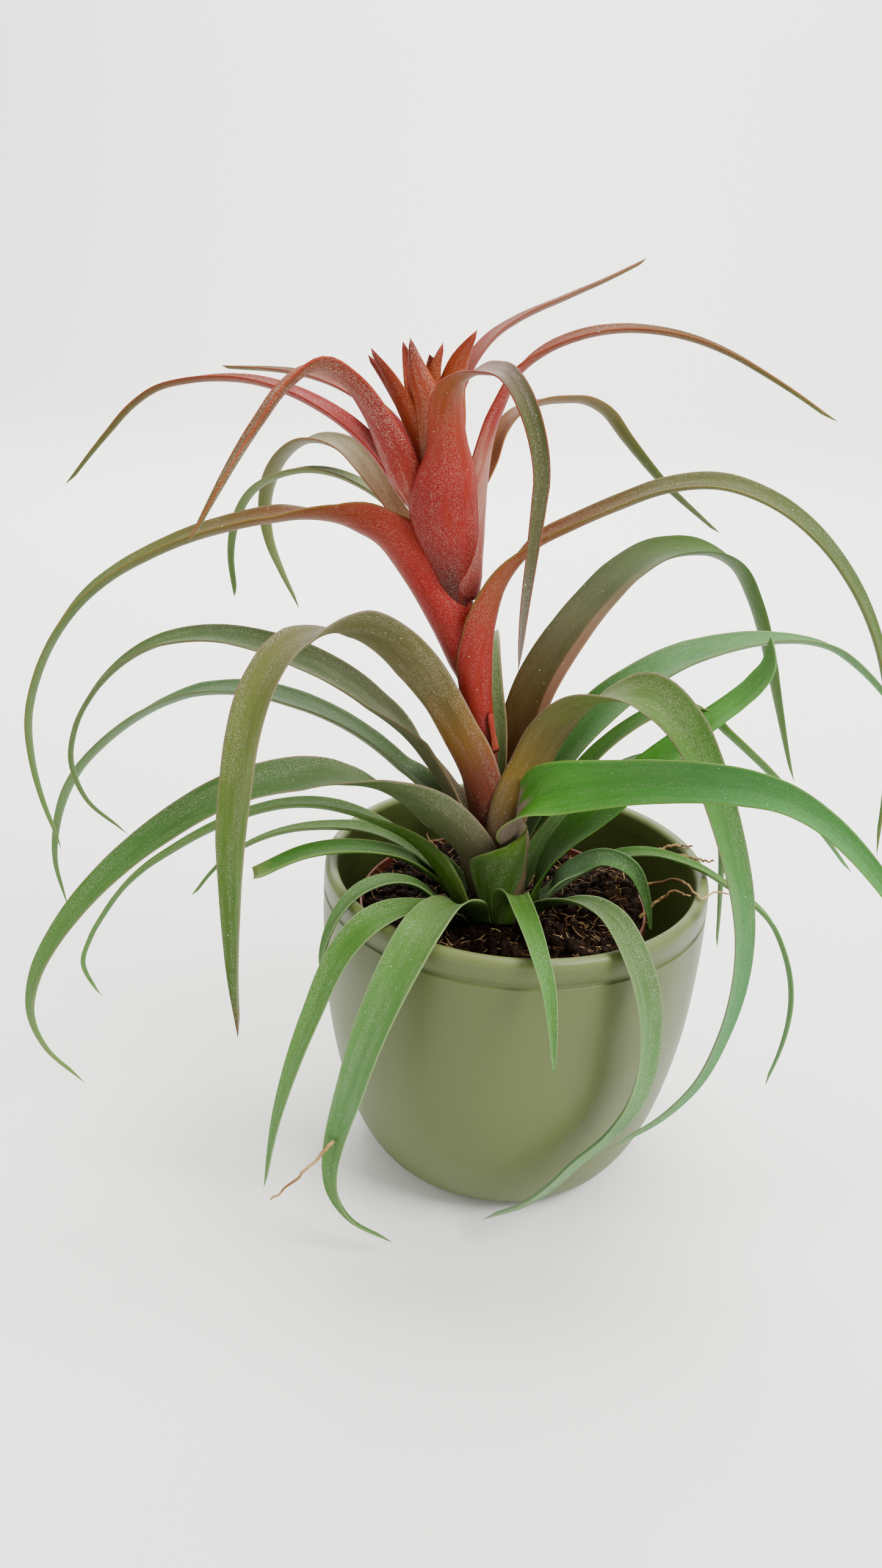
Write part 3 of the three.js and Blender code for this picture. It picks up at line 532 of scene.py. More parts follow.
# Stem -----------------------------------------------------------------
# The flower stem, woody and ribbed, which grew out of the crown and leans to the left. Its sheaths hide nearly
# all of it, so the CAD solid stays and gets its bark.
STEM_BROWN, STEM_RED = "7a5335", "9d5a43"
stem_finish, shader, wire = new_finish("woody_stem", Roughness=0.7)
place = wire.node("ShaderNodeTexCoord", out="Object")
drawn = wire.node("ShaderNodeMapping", {"Vector": place, "Scale": (900.0, 900.0, 60.0)})
ribs = drawn.noise(1.0, 3.0)
colour = ribs.step(0.35, 0.65).mix(linear(STEM_BROWN), linear(STEM_RED))
paint(shader, wire, Base_Color=colour, Normal=ribs.bump(0.5, 0.0004))
NODES["stem"].data.materials.clear()
NODES["stem"].data.materials.append(stem_finish)

# Leaves ---------------------------------------------------------------
# Each leaf is one fleshy strap, green, olive or red under a fine silver bloom: a sheath that clasps its
# neighbours, then a channelled blade that arches over and ends in a long point. It grows along its own line,
# so a tree builds it station by station from the line that its CAD solid holds.
STATION_STEP, FEWEST_STATIONS = 0.0022, 10
COLUMNS = 14
RING_SIZES = (6, 10, 14)
LEAF_THICKNESS, BRACT_THICKNESS = 0.0011, 0.0009
RIB_DEPTH, RIB_SHARPNESS = 0.0001, 40.0
EDGE_WAVE, CUT_WAVE, WAVES_ALONG, WAVES_ACROSS = 0.10, 0.05, 34.0, 0.8
EDGE_THINNING, ENDS_THINNING, NARROW_PART, SEAM = 0.62, 30.0, 0.005, 0.000015
FLATTEST, ROUNDEST = 0.02, math.radians(172)
CHROMA, RED_CHROMA, GAIN, RED_GAIN = 1.25, 1.7, 0.72, 0.7


def leaf_rings(node):
    """Rings of a CAD leaf from its foot to its tip, as (rings, 2, n, 3): upper row and lower row, left to right."""
    raw = np.array([v.co for v in node.data.vertices], float)
    _, first, same = np.unique(np.round(raw * 1e6).astype(np.int64), axis=0, return_index=True, return_inverse=True)
    same = same.ravel()
    points = raw[first]
    triangles = [tuple(same[i] for i in face.vertices) for face in node.data.polygons]
    near = [set() for _ in points]
    for face in triangles:
        for a in face:
            near[a].update(face)
    for a, others in enumerate(near):
        others.discard(a)

    def layers_from(tip):
        seen, layer, found = {tip}, {tip}, []
        while True:
            layer = set().union(*(near[v] for v in layer)) - seen
            if not layer:
                return found
            if len(layer) != len(near[tip]):
                return None
            found.append(layer)
            seen |= layer

    # The tip is the one point from which every step finds a ring as large as the first.
    layers, tip = next((layers_from(v), v) for v in range(len(points))
                       if len(near[v]) in RING_SIZES and layers_from(v))
    level_of = {v: i for i, layer in enumerate(layers) for v in layer}
    level_of[tip] = -1
    beside = [set() for _ in points]
    for face in triangles:
        if len({level_of[v] for v in face}) > 1:
            for a in face:
                beside[a].update(b for b in face if b != a and level_of[a] == level_of[b])
    loops = []
    for layer in layers:
        loop = [min(layer)]
        while len(loop) < len(layer):
            loop.append(next(v for v in sorted(beside[loop[-1]]) if v not in loop))
        if loops:
            before = loops[-1]
            choices = [loop[s:] + loop[:s] for s in range(len(loop))]
            choices += [choice[::-1] for choice in choices]
            choices = [c for c in choices if all(a in near[b] for a, b in zip(c, before))]
            shape = points[before] - points[before].mean(0)
            loop = min(choices, key=lambda c: np.sum((points[c] - points[c].mean(0) - shape) ** 2))
        loops.append(loop)
    rings = points[np.array(loops[::-1])]
    half = rings.shape[1] // 2
    edges = np.linalg.norm(rings - np.roll(rings, -1, 1), axis=2).sum(0)
    cut = min(range(half), key=lambda i: edges[i] + edges[i + half])
    rings = np.roll(rings, -(cut + 1), 1)
    rows = np.stack([rings[:, :half], rings[:, :half - 1:-1]], 1)
    middle = half // 2
    foot = rows[0]
    chord_middle = (foot[0, 0] + foot[0, -1]) / 2
    if np.linalg.norm(foot[0, middle] - chord_middle) > np.linalg.norm(foot[1, middle] - chord_middle):
        rows = rows[:, ::-1]
        foot = rows[0]
        chord_middle = (foot[0, 0] + foot[0, -1]) / 2
    along = rows[1, 0, middle] - foot[0, middle]
    if np.cross(foot[0, 0] - foot[0, -1], chord_middle - foot[0, middle]) @ along < 0:
        rows = rows[:, :, ::-1]
    return rows, points[tip]


def leaf_line(rows, tip, shorter=0):
    """One row per ring and one for the tip: rib point, left direction, up direction, chord, half angle."""
    table = []
    if shorter:
        tip = rows[-shorter, 0].mean(0)
        rows = rows[:-shorter]
    for upper, lower in rows:
        rib, chord = upper[len(upper) // 2], upper[0] - upper[-1]
        width = np.linalg.norm(chord)
        up = (upper[0] + upper[-1]) / 2 - rib
        sagitta = np.linalg.norm(up)
        angle = 2 * math.atan2(2 * sagitta, width)
        left = chord / width
        up = rib - lower[len(lower) // 2]
        up -= left * (up @ left)
        table.append([*rib, *left, *(up / np.linalg.norm(up)), width, angle])
    table.append([*tip, *table[-1][3:9], 0.0, table[-1][10]])
    return table


tree, given, add = tree_maker("blade", [
    ("Columns", "Int"), ("Thickness", "Float"), ("Rib", "Float"), ("Wave", "Float"), ("Seed", "Float"),
    ("Finish", "Material")])


def reckon(operation, *values):
    return add("ShaderNodeMath", enumerate(values), operation=operation)


def moved(place, direction, amount):
    """A place moved along a direction."""
    step = add("ShaderNodeVectorMath", {0: direction, "Scale": amount}, operation="SCALE")
    return add("ShaderNodeVectorMath", {0: place, 1: step}, operation="ADD")


stations = add("GeometryNodeAttributeDomainSize", {0: given["Geometry"]})
round_count = reckon("ADD", reckon("MULTIPLY", given["Columns"], 2), 3)
grid = add("GeometryNodeMeshGrid", {"Size X": 1.0, "Size Y": 1.0, "Vertices X": stations, "Vertices Y": round_count})
index = add("GeometryNodeInputIndex")
station = reckon("FLOOR", reckon("DIVIDE", reckon("ADD", index, 0.5), round_count))
column = reckon("SUBTRACT", index, reckon("MULTIPLY", station, round_count))


def at_station(kind, value):
    """What the leaf's line holds at this point's station: an attribute by name, or its position."""
    if isinstance(value, str):
        value = add("GeometryNodeInputNamedAttribute", {"Name": value}, data_type=kind)
    return add("GeometryNodeSampleIndex", {0: given["Geometry"], "Value": value, "Index": station}, data_type=kind)


spine_at = at_station("FLOAT_VECTOR", add("GeometryNodeInputPosition"))
left, up = (at_station("FLOAT_VECTOR", name) for name in ("left", "up"))
radius, half_angle, turn, along, share = (
    at_station("FLOAT", name) for name in ("radius", "half_angle", "turn", "along", "share"))
# The section runs from the left edge over the upper face to the right edge, back under the lower face, and ends
# on its first point, where it is merged.
last = reckon("SUBTRACT", round_count, 1)
column = reckon("MULTIPLY", column, reckon("LESS_THAN", column, reckon("SUBTRACT", last, 0.5)))
is_lower = reckon("GREATER_THAN", column, reckon("ADD", given["Columns"], 0.5))
folded = reckon("MINIMUM", column, reckon("SUBTRACT", reckon("SUBTRACT", last, 1), column))
across = reckon("SUBTRACT", 1.0, reckon("MULTIPLY", reckon("DIVIDE", folded, given["Columns"]), 2.0))
ripple = add("ShaderNodeTexNoise", {
    "Vector": add("ShaderNodeCombineXYZ", {
        0: reckon("MULTIPLY", along, WAVES_ALONG), 1: reckon("MULTIPLY", across, WAVES_ACROSS), 2: given["Seed"]}),
    "Scale": 1.0, "Detail": 2.0})
ripple = reckon("MULTIPLY", reckon("SUBTRACT", ripple, 0.5), given["Wave"])
edge = reckon("POWER", reckon("ABSOLUTE", across), 2.0)
lift = reckon("MULTIPLY", reckon("MULTIPLY", ripple, edge), radius)
crease = reckon("MULTIPLY", given["Rib"], reckon("POWER", 2.718, reckon(
    "MULTIPLY", reckon("MULTIPLY", across, across), -RIB_SHARPNESS)))
crease = reckon("MULTIPLY", crease, reckon("SUBTRACT", 1.0, is_lower))
fade = reckon("MULTIPLY", reckon("MULTIPLY", share, reckon("SUBTRACT", 1.0, share)), ENDS_THINNING)
fade = reckon("MINIMUM", 1.0, fade)
fine = reckon("MINIMUM", 1.0, reckon("MULTIPLY", radius, 1 / NARROW_PART))
crease = reckon("MULTIPLY", crease, reckon("MULTIPLY", fade, fine))
flesh = reckon("MULTIPLY", given["Thickness"], reckon("SUBTRACT", 1.0, reckon("MULTIPLY", edge, EDGE_THINNING)))
flesh = reckon("MULTIPLY", flesh, fade)
depth = reckon("MULTIPLY", flesh, is_lower)
swing = reckon("ADD", reckon("MULTIPLY", across, half_angle), turn)
reach = reckon("ADD", radius, depth)
sideways = reckon("MULTIPLY", reach, reckon("SINE", swing))
upwards = reckon("SUBTRACT", radius, reckon("MULTIPLY", reach, reckon("COSINE", swing)))
upwards = reckon("ADD", upwards, reckon("SUBTRACT", lift, crease))
where = moved(moved(spine_at, left, sideways), up, upwards)
blade = add("GeometryNodeSetPosition", {"Geometry": grid, "Position": where})
for name, value in (("along", along), ("share", share), ("across", across), ("lower", is_lower)):
    blade = add("GeometryNodeStoreNamedAttribute", {0: blade, "Name": name, "Value": value}, data_type="FLOAT")
blade = add("GeometryNodeMergeByDistance", {"Geometry": blade, "Distance": SEAM})
blade = add("GeometryNodeSetShadeSmooth", {0: add("GeometryNodeFlipFaces", {0: blade})})
blade = add("GeometryNodeRealizeInstances", {"Geometry": blade})
blade = add("GeometryNodeSetMaterial", {"Geometry": blade, "Material": given["Finish"]})
add("NodeGroupOutput", {0: blade}, out=None)
BLADE_TREE = tree
# How close the skin's lines and clouds lie: for each metre along the leaf, and across its half width.
LINES_ALONG, LINES_ACROSS, CLOUDS_ALONG, CLOUDS_ACROSS = 120.0, 26.0, 38.0, 2.4
BLOOM_SILVER, WARM_PATCH, CHANNEL_SHADE, SPECK_WHITE = "c9cdb4", "80290c", "3d5a30", "dfe2d2"


def vivid(code):
    """A screen colour with more chroma, reds most of all, since the view transform greys what it shows."""
    colour = linear(code)
    grey = 0.3 * colour[0] + 0.6 * colour[1] + 0.1 * colour[2]
    red = max(0.0, 0.5 - colour[1] / max(colour[0], 0.001))
    chroma, gain = CHROMA + RED_CHROMA * red, GAIN * (1 - RED_GAIN * red)
    return tuple(max(0.004, grey + (value - grey) * chroma) * gain for value in colour[:3]) + (1.0,)


def pairs(text):
    """Shares and what holds there, from a text such as "0 37501f, 1 6f9a66"."""
    return [pair.split() for pair in text.split(", ")]


def leaf_skin(name, shades, bloom, edge_colour, seed, pale_side):
    """The skin of one leaf: its own colours from foot to tip, lines along it, silver bloom, edges and specks, with
    painted shade in the lines' grooves and in the channel over the rib.
    """
    finish, shader, wire = new_finish(
        name, Subsurface_Weight=0.06, Subsurface_Radius=(0.0016, 0.0012, 0.0005), Subsurface_Scale=1.0,
        IOR=1.3, Specular_IOR_Level=0.45)

    def attribute(title):
        return wire.node("ShaderNodeAttribute", out="Fac", attribute_name=title)

    share, along, across, lower = (attribute(title) for title in ("share", "along", "across", "lower"))
    place = wire.node("ShaderNodeTexCoord", out="Object")
    skin = wire.node("ShaderNodeCombineXYZ", {0: along * LINES_ALONG, 1: across * LINES_ACROSS, 2: seed})
    lines = skin.noise(1.0, 3.0, 0.6)
    stretch = wire.node("ShaderNodeCombineXYZ", {0: along * CLOUDS_ALONG, 1: across * CLOUDS_ACROSS, 2: seed + 5})
    cloud = stretch.noise(1.0, 4.0)
    scale = place.noise(2600.0, 1.0)
    speck = wire.node("ShaderNodeTexVoronoi", {"Vector": place, "Scale": 330.0}, out="Distance").step(0.10, 0.05)
    shifted = share + (cloud - 0.5) * 0.10
    stops = [(float(at), vivid(code)) for at, code in pairs(shades)]
    colour = wire.node("ShaderNodeValToRGB", {0: shifted}, ramp=stops)
    if name.startswith(("flame", "sunset")):
        colour = (cloud.step(0.48, 0.66) * share.step(0.5, 0.1) * 0.55).mix(colour, linear(WARM_PATCH))
    # Painted shade: the fine lines along the leaf are darker in their grooves, where the bump sinks.
    shade = lines.step(0.32, 0.68)
    colour = ((1 - shade) * 0.28).mix(colour, (0.4, 0.42, 0.3, 1), "MULTIPLY")
    silver = scale.step(0.42, 0.72) * (0.15 + 0.85 * cloud.step(0.62, 0.42))
    silver = silver * (bloom * 0.55) * (1 - lower * 0.25)
    colour = silver.mix(colour, linear(BLOOM_SILVER))
    # Painted shade in the channel over the rib: the middle of the upper face is a little darker.
    rib = abs(across).step(0.3, 0.0)
    colour = (rib * 0.10 * (1 - lower)).mix(colour, linear(CHANNEL_SHADE), "MULTIPLY")
    if pale_side:
        side, begins = pale_side
        rim = (across * side).step(begins, begins + 0.15) * share.step(0.5, 0.25)
    else:
        rim = abs(across).step(0.90, 0.985)
    colour = (rim * 0.55).mix(colour, vivid(edge_colour))
    colour = (speck * cloud.step(0.5, 0.62) * 0.5).mix(colour, linear(SPECK_WHITE))
    paint(shader, wire, Base_Color=colour, Roughness=0.54 + scale * 0.12 - shade * 0.1,
          Normal=(lines + scale * 0.25).bump(0.6, 0.0004))
    return finish


def grow_leaf(node, line, shades, bloom, edge_colour, seed, thickness=LEAF_THICKNESS, wave=EDGE_WAVE, pale_side=None):
    """Builds one leaf along its line and dresses it, in the place of its CAD node."""
    _, length = smooth_line(line, 2)
    rows, _ = smooth_line(line, max(FEWEST_STATIONS, int(length / STATION_STEP)))
    ahead = np.gradient(rows[:, :3], axis=0)
    ahead /= np.linalg.norm(ahead, axis=1)[:, None]
    left = rows[:, 3:6] - ahead * np.sum(rows[:, 3:6] * ahead, 1)[:, None]
    left /= np.linalg.norm(left, axis=1)[:, None]
    up = np.cross(ahead, left)
    share = np.linspace(0, 1, len(rows))
    plain = 0 * share
    fit = {key: np.interp(share, *np.array(pairs(knots), float).T) for key, knots in FITS.get(node, {}).items()}
    roll = np.radians(fit.get("roll", plain))[:, None]
    left, up = left * np.cos(roll) + up * np.sin(roll), up * np.cos(roll) - left * np.sin(roll)
    for axis, key in enumerate("xyz"):
        rows[:, axis] += fit.get(key, plain) / 1000
    angle = np.clip(rows[:, 10], FLATTEST, ROUNDEST)
    radius = np.maximum(rows[:, 9], 0.0) / (2 * np.sin(angle)) * fit.get("wide", 1)
    to_left, to_right = (angle + np.radians(fit.get(side, plain)) for side in ("left", "right"))
    spine = bpy.data.meshes.new("spine")
    spine.from_pydata(rows[:, :3].tolist(), [], [])
    for title, kind, values in (
        ("left", "FLOAT_VECTOR", left), ("up", "FLOAT_VECTOR", up), ("radius", "FLOAT", radius),
        ("half_angle", "FLOAT", (to_left + to_right) / 2), ("turn", "FLOAT", (to_left - to_right) / 2),
        ("along", "FLOAT", share * length), ("share", "FLOAT", share),
    ):
        layer = spine.attributes.new(title, kind, "POINT")
        layer.data.foreach_set("vector" if kind == "FLOAT_VECTOR" else "value", values.astype(np.float32).ravel())
    holder = bpy.data.objects.new("spine", spine)
    bpy.context.scene.collection.objects.link(holder)
    name = node.replace("_leaf", "_blade").replace("head_", "flower_").replace("red_", "small_")
    leaf = grown(holder, BLADE_TREE, {
        "Columns": COLUMNS, "Thickness": thickness, "Rib": RIB_DEPTH, "Wave": wave, "Seed": seed,
        "Finish": leaf_skin(name + "_skin", shades, bloom, edge_colour, seed, pale_side)}, name)
    bpy.data.objects.remove(holder)
    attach(leaf, "root")
    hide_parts(node)


# Where a leaf's section is wider, wraps on (degrees added at the left or right edge), rolls (degrees) or lies
# beside the plain line (mm), each as pairs of the share of its length and the amount there.
FITS = {
    "crown_leaf_front": {"wide": "0 1, .15 1.2, .2 1.35, .45 1.4, .55 1.6, .65 1.9, .75 2.2, 1 2",
        "roll": ".15 0, .25 15, .32 35, .42 38, .5 0"},
    "sunset_leaf_left": {"wide": "0 1.1, .05 1.35, .12 1.45, .22 1.2, .3 1.55, .5 1.65, .8 1.5, 1 1.2",
        "left": "0 75, .05 78, .12 64, .2 32, .28 0", "roll": ".08 0, .15 25, .25 40, .35 0"},
    "sunset_leaf_right": {"right": ".05 0, .15 12, .22 18, .3 0",
        "wide": "0 .85, .1 .9, .2 1, .27 1.35, .36 1.25, .5 1.1, 1 1.05"},
    "arch_leaf_left_upper": {"z": ".1 0, .2 -6, .3 -8, .4 -5, .5 -2, .6 0",
        "wide": "0 1, .15 1.6, .3 1.5, .5 1.15, 1 1.1", "roll": ".12 0, .22 35, .4 0"},
    "arch_leaf_left_lower": {"z": ".1 -2, .2 -8, .3 -5, .4 -2, .5 0",
        "wide": "0 1, .1 1.3, .3 1.4, .5 1.7, .8 1.6, 1 1", "roll": ".1 0, .2 20, .35 0"},
    "broad_leaf_left": {"z": ".15 0, .3 -3, .45 0", "roll": ".08 0, .17 38, .26 30, .36 0",
        "wide": "0 1, .2 1.15, .35 1.2, .5 1.2, .8 1.25, 1 1"},
    "arch_leaf_right_front": {"wide": "0 1, .2 1.15, .35 1.35, .5 1.15, 1 1.1"},
    "arch_leaf_right_upper": {"wide": "0 1, .2 1.4, .35 1.8, .5 1.8, .6 1.5, .7 1.2, 1 1.15"},
    "slim_leaf_right": {"wide": "0 1, .4 1.2, .6 1.5, 1 1.4"},
    "curled_leaf_right": {"wide": "0 1, .3 1.25, .6 1.4, .8 1.6, 1 1.6", "z": ".85 0, 1 3"},
    "broad_leaf_right": {"wide": "0 .6, .1 .8, .17 1.3, .22 1.4, .35 1.15, .52 1.05, .62 .8, .8 .68, 1 .8",
        "y": "0 3, .1 5, .17 0", "x": ".1 0, .17 -4, .24 -5, .34 -1, .4 0"},
    "arch_leaf_right_tall": {"x": ".08 0, .18 3, .3 2, .4 0",
        "wide": ".1 1, .2 .93, .35 1, .5 1.25, .8 1.6, 1 1.3"},
    "red_scale": {"wide": "0 .9, .5 .6, 1 .5"},
    "rim_leaf_right": {"wide": "0 1, .5 1.15, .7 1.3, .85 1.8, .95 2.4, 1 2.4"},
    "rim_leaf_front": {"wide": "0 1, .3 1.15, .7 1.1, 1 1"},
    "flame_leaf_front": {"wide": "0 1, .2 1.1, .35 1.05, .5 .95, .6 .72, .85 .8, 1 1.2",
        "x": ".5 0, .65 1.5, .75 3.5, 1 3", "left": "0 -66, .06 -52, .1 -30, .14 -6, .18 0"},
    "flame_leaf_right": {"x": "0 2.5, .1 3.2, .2 2, .3 0", "right": "0 70, .12 60, .22 0",
        "wide": "0 1.6, .1 1.5, .2 1.15, .3 1"},
    "flame_leaf_left": {"wide": "0 1, .1 1.7, .4 1.6, .6 1.2, 1 1"},
    "flame_leaf_left_front": {"wide": "0 1, .4 1.1, .55 1.5, .85 1.7, 1 1.4"},
    "olive_leaf_back": {"wide": "0 .75, .25 .9, .4 1.4, .7 1.6, 1 1.3"},
    "thin_leaf_back": {"wide": "0 1, .4 1.25, 1 1.2"},
    "short_leaf_right": {"wide": "0 .9, .3 .8, 1 .75"},
    "head_bract_front": {"wide": "0 1, .5 1.1, .75 1.45, 1 1.4", "x": ".2 0, .6 2, 1 2"},
    "head_bract_left": {"wide": "0 1.2, .5 1.5, 1 1.8", "roll": "0 30, 1 30"},
    "head_bract_left_front": {"wide": "0 1, .4 1.35, .7 1.7, 1 1.6"},
    "head_bract_middle": {"wide": "0 1.3, 1 2", "roll": "0 45, 1 45"},
    "head_bract_right": {"wide": "0 1.2, 1 1.8", "roll": "0 -30, 1 -30"},
    "head_bract_back": {"wide": "0 1.2, 1 1.6"},
    "head_bract_far_right": {"wide": "0 1.2, .5 1.8, 1 2.2", "roll": "0 -60, 1 -60"},
    "cut_leaf_crown": {"right": ".62 0, .72 -15, .82 -45, .92 -85, 1 -122", "left": ".8 0, 1 -6"},
}
# Rings left off at a tip that is tucked in behind another leaf.
SHORTER = {"curled_leaf_right": 3}
# A leaf that shows a pale side: 1 for the left or -1 for the right, and how far out from the rib it begins.
PALE_SIDES = {"arch_leaf_right_tall": (-1, 0.3)}
SEED_STEP = 3.7
# Each leaf's shades from foot to tip, as pairs of the share of its length and the colour there, then its bloom
# and the colour of its edges.
LEAVES = {
    "sunset_leaf_right": ("0 42160c, .05 70261a, .13 8a2c1c, .19 944436, .24 844818, .34 704814, .45 524c1c, "
        ".65 54643a, 1 6c8a54", .3, "70683c"),
    "sunset_leaf_left": ("0 6c2412, .07 963a30, .15 a4422e, .24 8c4618, .32 764c18, .45 60582c, .62 586a3c, "
        "1 6c8a54", .28, "7c6c40"),
    "flame_leaf_front": ("0 451608, .08 541a0c, .12 742214, .16 84261c, .22 842822, .26 903820, .34 904a26, "
        ".44 825028, .52 785244, .6 665848, .68 50522e, .85 5f5c42, 1 8f8580", .3, "8c3c24"),
    "thin_leaf_back": ("0 8c6b58, .3 6c7048, 1 6f8a55", .3, "8a7a58"),
    "olive_leaf_back": ("0 94503c, .15 8a5f42, .35 6e5c40, .6 626035, 1 7b8a5c", .3, "9a6a50"),
    "flame_leaf_left_front": ("0 7c3c30, .18 a06054, .3 94442c, .42 883e14, .7 6c441a, 1 666238", .7, "a85634"),
    "flame_leaf_right": ("0 7c3430, .13 a8756e, .23 ac786c, .3 8c4020, .45 7a4210, .6 6c4816, .8 5c5022, "
        "1 667244", .35, "84481c"),
    "flame_leaf_left": ("0 8a342e, .25 902f24, .42 843810, .75 64501f, 1 647444", .3, "94481c"),
    "flame_leaf_back": ("0 84501c, .25 845420, .45 746040, .7 566034, 1 687a50", .18, "8c6440"),
    "flame_leaf_left_back": ("0 8c3420, .4 883c14, .7 6c4a1c, 1 566030", .15, "8c4820"),
    "flame_leaf_top": ("0 843c18, .25 7c3c0c, .6 6c440f, 1 5c4c1c", .04, "7c4414"),
    "crown_leaf_front": ("0 451c12, .06 5a2c22, .12 704038, .17 784a3e, .22 7c5a30, .28 605430, .42 585638, "
        ".5 666240, .62 6f7a44, .8 5a7a38, .93 4f6c30, 1 6a4a2c", .45, "8f7f70"),
    "back_leaf_tall": ("0 6f6a4f, .12 6a7a50, .4 5c6a3c, 1 7b8a5c", .38, "96705c"),
    "arch_leaf_right_tall": ("0 5c3210, .1 66380e, .16 563c08, .24 463c04, .38 3c4206, .6 466030, "
        "1 64804c", .07, "a07a68"),
    "arch_leaf_left_upper": ("0 5f4a2f, .12 665a44, .25 5a5e42, .5 4c6034, 1 6a8450", .3, "7c6a50"),
    "arch_leaf_right_front": ("0 8a6a58, .1 7c6850, .16 786232, .24 665e3a, .31 5c6c3c, .45 4c7034, .6 5c8850, "
        ".75 689a6a, 1 6f9e6e", .3, "8a7a68"),
    "arch_leaf_right_upper": ("0 5f6a38, .15 426630, .5 446e3a, 1 628c58", .2, "7f8a60"),
    "arch_leaf_left_lower": ("0 4f6030, .2 546a42, .5 527044, 1 6c8a56", .3, "7c7a58"),
    "broad_leaf_left": ("0 5a4a36, .08 5c5242, .18 505a3a, .35 4a6038, .6 4a7038, 1 6f9550", .3, "8a7a66"),
    "broad_leaf_right": ("0 8a7a62, .19 84766a, .215 4c7c32, .26 487a34, .5 52844c, .8 639a5a, "
        "1 6f9a66", .18, "74924f"),
    "slim_leaf_right": ("0 37501f, .2 4f7a34, .6 57823c, 1 6f9a66", .26, "8a8058"),
    "back_leaf_low": ("0 37501f, .2 4f7034, 1 6a8a55", .3, "7f8a60"),
    "low_leaf_left": ("0 4a5a28, .1 4c6a2c, .3 55743c, .7 5a8044, 1 6f9a5c", .3, "7f8a58"),
    "thin_leaf_right": ("0 5f7a48, .3 6a8a55, 1 76946a", .42, "8a9a70"),
    "curled_leaf_right": ("0 344818, .08 3c5620, .25 41651f, .5 4f8a34, .8 588a46, 1 6c965c", .24, "5f8a44"),
    "slim_leaf_left": ("0 37501f, .2 4c6a30, 1 5f8044", .32, "7f8a60"),
    "rim_leaf_front": ("0 48602c, .12 5a7440, .3 5f8448, .6 66905a, .85 57803f, 1 688a58", .36, "93a478"),
    "rim_leaf_far_right": ("0 4a6430, .2 4f7434, .6 5f8a4c, 1 76a070", .4, "7f9a68"),
    "short_leaf_right": ("0 5a7048, .3 688460, .6 567c48, 1 5a8844", .45, "8aa070"),
    "rim_leaf_right": ("0 2f4a0c, .08 35500f, .2 4a6430, .35 5f7a4c, .6 6a945f, .85 809f7c, "
        "1 8fa88a", .46, "93a478"),
    "rim_leaf_middle": ("0 48602c, .2 4f7030, .5 4f7a38, 1 659055", .34, "8aa070"),
    "rim_leaf_left_small": ("0 45602f, .3 5a7848, 1 6a9058", .42, "8aa070"),
    "rim_leaf_left": ("0 3c5624, .2 4c7034, .5 5f8a48, 1 70985f", .4, "93a478"),
    "head_bract_middle": ("0 80483a, .5 94522f, 1 80402a", .3, "a0603c"),
    "head_bract_back": ("0 80483a, .5 94522f, 1 80402a", .3, "a0603c"),
    "head_bract_right": ("0 80483a, .6 9a5c40, 1 8a4428", .3, "a0603c"),
    "head_bract_left": ("0 80483a, .5 90502f, 1 783a26", .3, "a0603c"),
    "head_bract_left_front": ("0 8a5044, .5 985434, 1 783a26", .35, "a0603c"),
    "head_bract_front": ("0 845a52, .4 94594a, .7 98522f, 1 703624", .55, "a86040"),
    "head_bract_far_right": ("0 8a5044, .5 9c5c3c, 1 8f4a2c", .35, "a0603c"),
    "red_scale": ("0 9a5a4c, 1 9a3a2c", .3, "b87058"),
}
for number, (node, (shades, bloom, edge_colour)) in enumerate(LEAVES.items()):
    small = node.startswith(("head_bract", "red_scale"))
    line = leaf_line(*leaf_rings(NODES[node]), SHORTER.get(node, 0))
    grow_leaf(node, line, shades, bloom, edge_colour, number * SEED_STEP + 1,
              thickness=BRACT_THICKNESS if small else LEAF_THICKNESS, pale_side=PALE_SIDES.get(node))

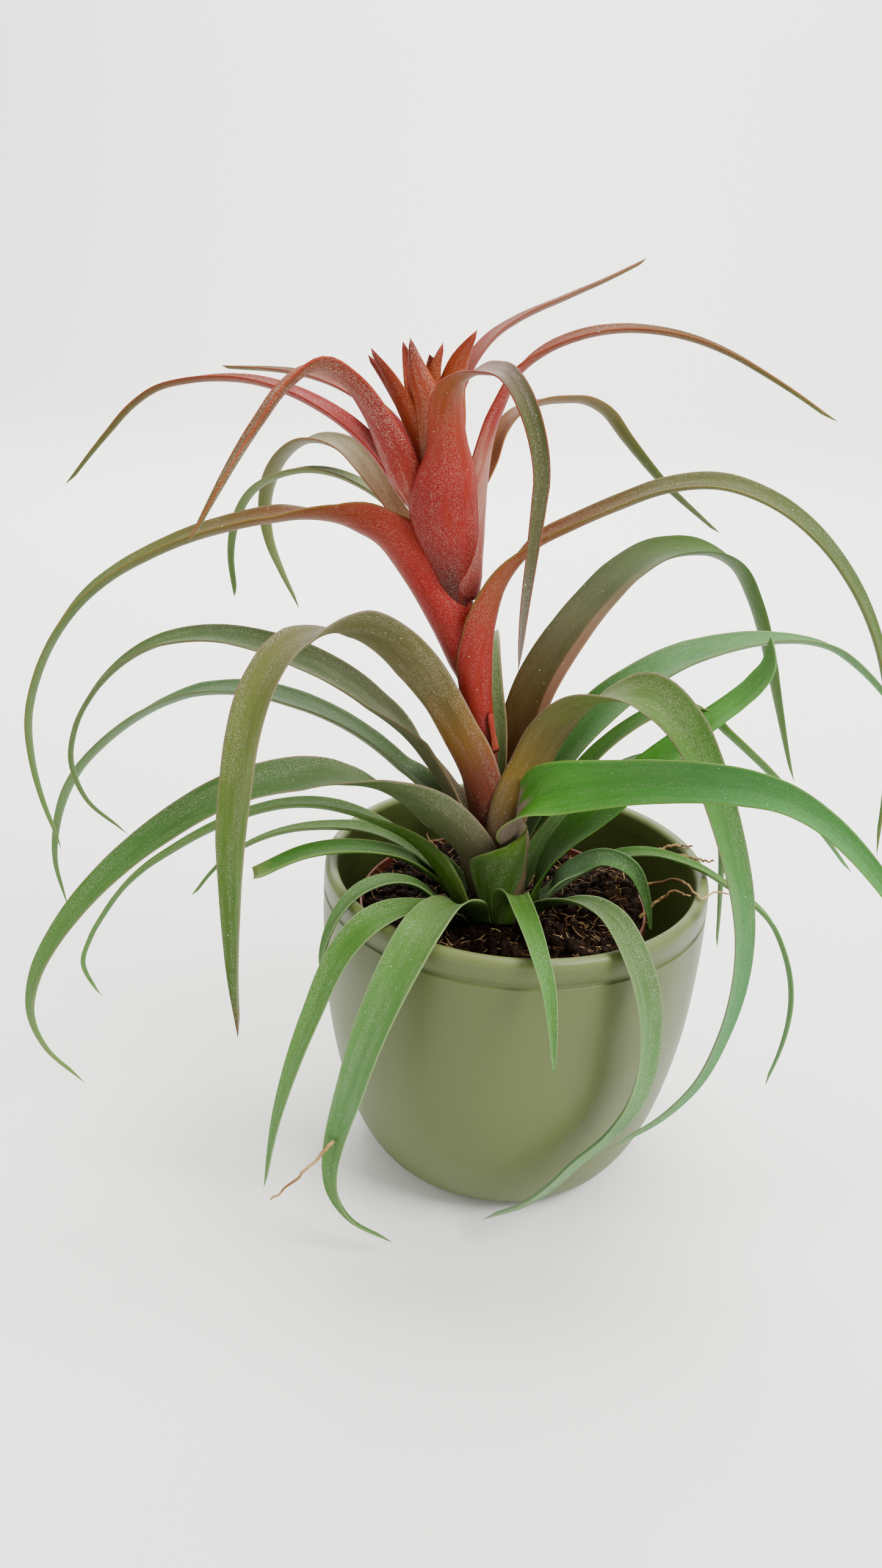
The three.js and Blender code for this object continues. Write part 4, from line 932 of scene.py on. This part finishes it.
# The two leaves cut short with scissors have no point, so their lines are given in rows: the rib's place (mm),
# the left edge's direction, the width (mm) and the half angle (degrees).
CUT_EDGE, CUT_SEED = "8f9a60", 7.0
CUT_LEAVES = {
    "cut_leaf_crown": (
        [((-6, -22, 108), (1, 0.1, 0), 7, 40), ((-6, -24.2, 116), (1, 0.1, 0), 11, 50),
         ((-6, -26, 124), (1, 0.1, 0), 16, 56), ((-6, -27.3, 131), (1, 0.1, 0), 18.6, 58),
         ((-6, -28.2, 138), (1, 0.1, 0), 18.8, 58), ((-6, -29, 146), (1, 0.1, 0), 18.4, 56)],
        "0 7f9050, .3 506e36, .7 486030, .9 5a7c34, 1 9aac5c", .5),
    "cut_leaf_left": (
        [((-17.9, -11.1, 107.5), (0.17, -0.98, 0), 7, 25), ((-26.7, -10, 115.5), (0.1, -0.98, 0.15), 9, 38),
         ((-40.6, -13.5, 126), (0.17, -0.98, 0.1), 9.6, 40), ((-57.2, -18, 130), (0.17, -0.98, 0), 9.6, 40),
         ((-74, -21, 128), (0.17, -0.98, -0.05), 9.2, 40), ((-92.6, -24.3, 119), (0.17, -0.98, -0.1), 8, 40)],
        "0 3c5624, .3 4c7034, .9 5a8a44, .98 86a060, 1 9aa070", .3),
}
for node, (rows, shades, bloom) in CUT_LEAVES.items():
    line = [[x / 1000, y / 1000, z / 1000, *left, 0, 0, 1, width / 1000, math.radians(half)]
            for (x, y, z), left, width, half in rows]
    grow_leaf(node, line, shades, bloom, CUT_EDGE, CUT_SEED, wave=CUT_WAVE)

# Roots and straws -----------------------------------------------------
# Thin dry roots and straws, brown and crooked, that grew or blew out of the peat and lie on the rims, and a
# thread of root caught on a leaf. Each is a tapering tube along its own line (mm).
ROOT_POINTS, ROOT_SIDES, ROOT_RADIUS = 48, 8, 0.00068
WANDER, WANDER_FREQUENCY, WANDER_SEED, STRAIGHT_POINTS = 0.0009, 0.22, 7, 6
ROOT_LINES = {
    "root_right": [(45, 7, 111), (58, 5, 116), (64, -17, 122.9), (65, -21, 123), (71, -15, 123.2), (75, -17, 123.6)],
    "root_right_front": [(46, -11, 107.9), (52, -9, 114.5), (57, -11, 119.6), (61.6, -17.5, 122.4)],
    "straw_right": [(54, 23, 119), (59, 22, 121.6), (66, 20.5, 122.9)],
    "straw_right_front": [(60, 13, 122.4), (66, 10.5, 122.9), (73, 8, 123.4)],
    "root_thread": [(-53.2, -80, 52.3), (-59.3, -85.5, 47), (-65.2, -89, 41.5), (-72.3, -90, 33.7)],
}
noise.seed_set(WANDER_SEED)
radii = [ROOT_RADIUS * (1 - 0.5 * i / (ROOT_POINTS - 1)) for i in range(ROOT_POINTS)]
for node, line in ROOT_LINES.items():
    rows, _ = smooth_line([(x / 1000, y / 1000, z / 1000) for x, y, z in line], ROOT_POINTS)
    shift = random.Random(node).uniform(0, 50)
    for i, row in enumerate(rows):
        wander = noise.noise_vector(Vector((i * WANDER_FREQUENCY + shift, shift, 0))) * WANDER
        rows[i] = row + np.array(wander) * min(1.0, i / STRAIGHT_POINTS)
    root = mesh_piece(node.replace("root", "dry_root").replace("straw", "dry_straw"), *tube(rows, radii, ROOT_SIDES))
    root.data.materials.append(straw_finish)
    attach(root, "root")
    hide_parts(node)
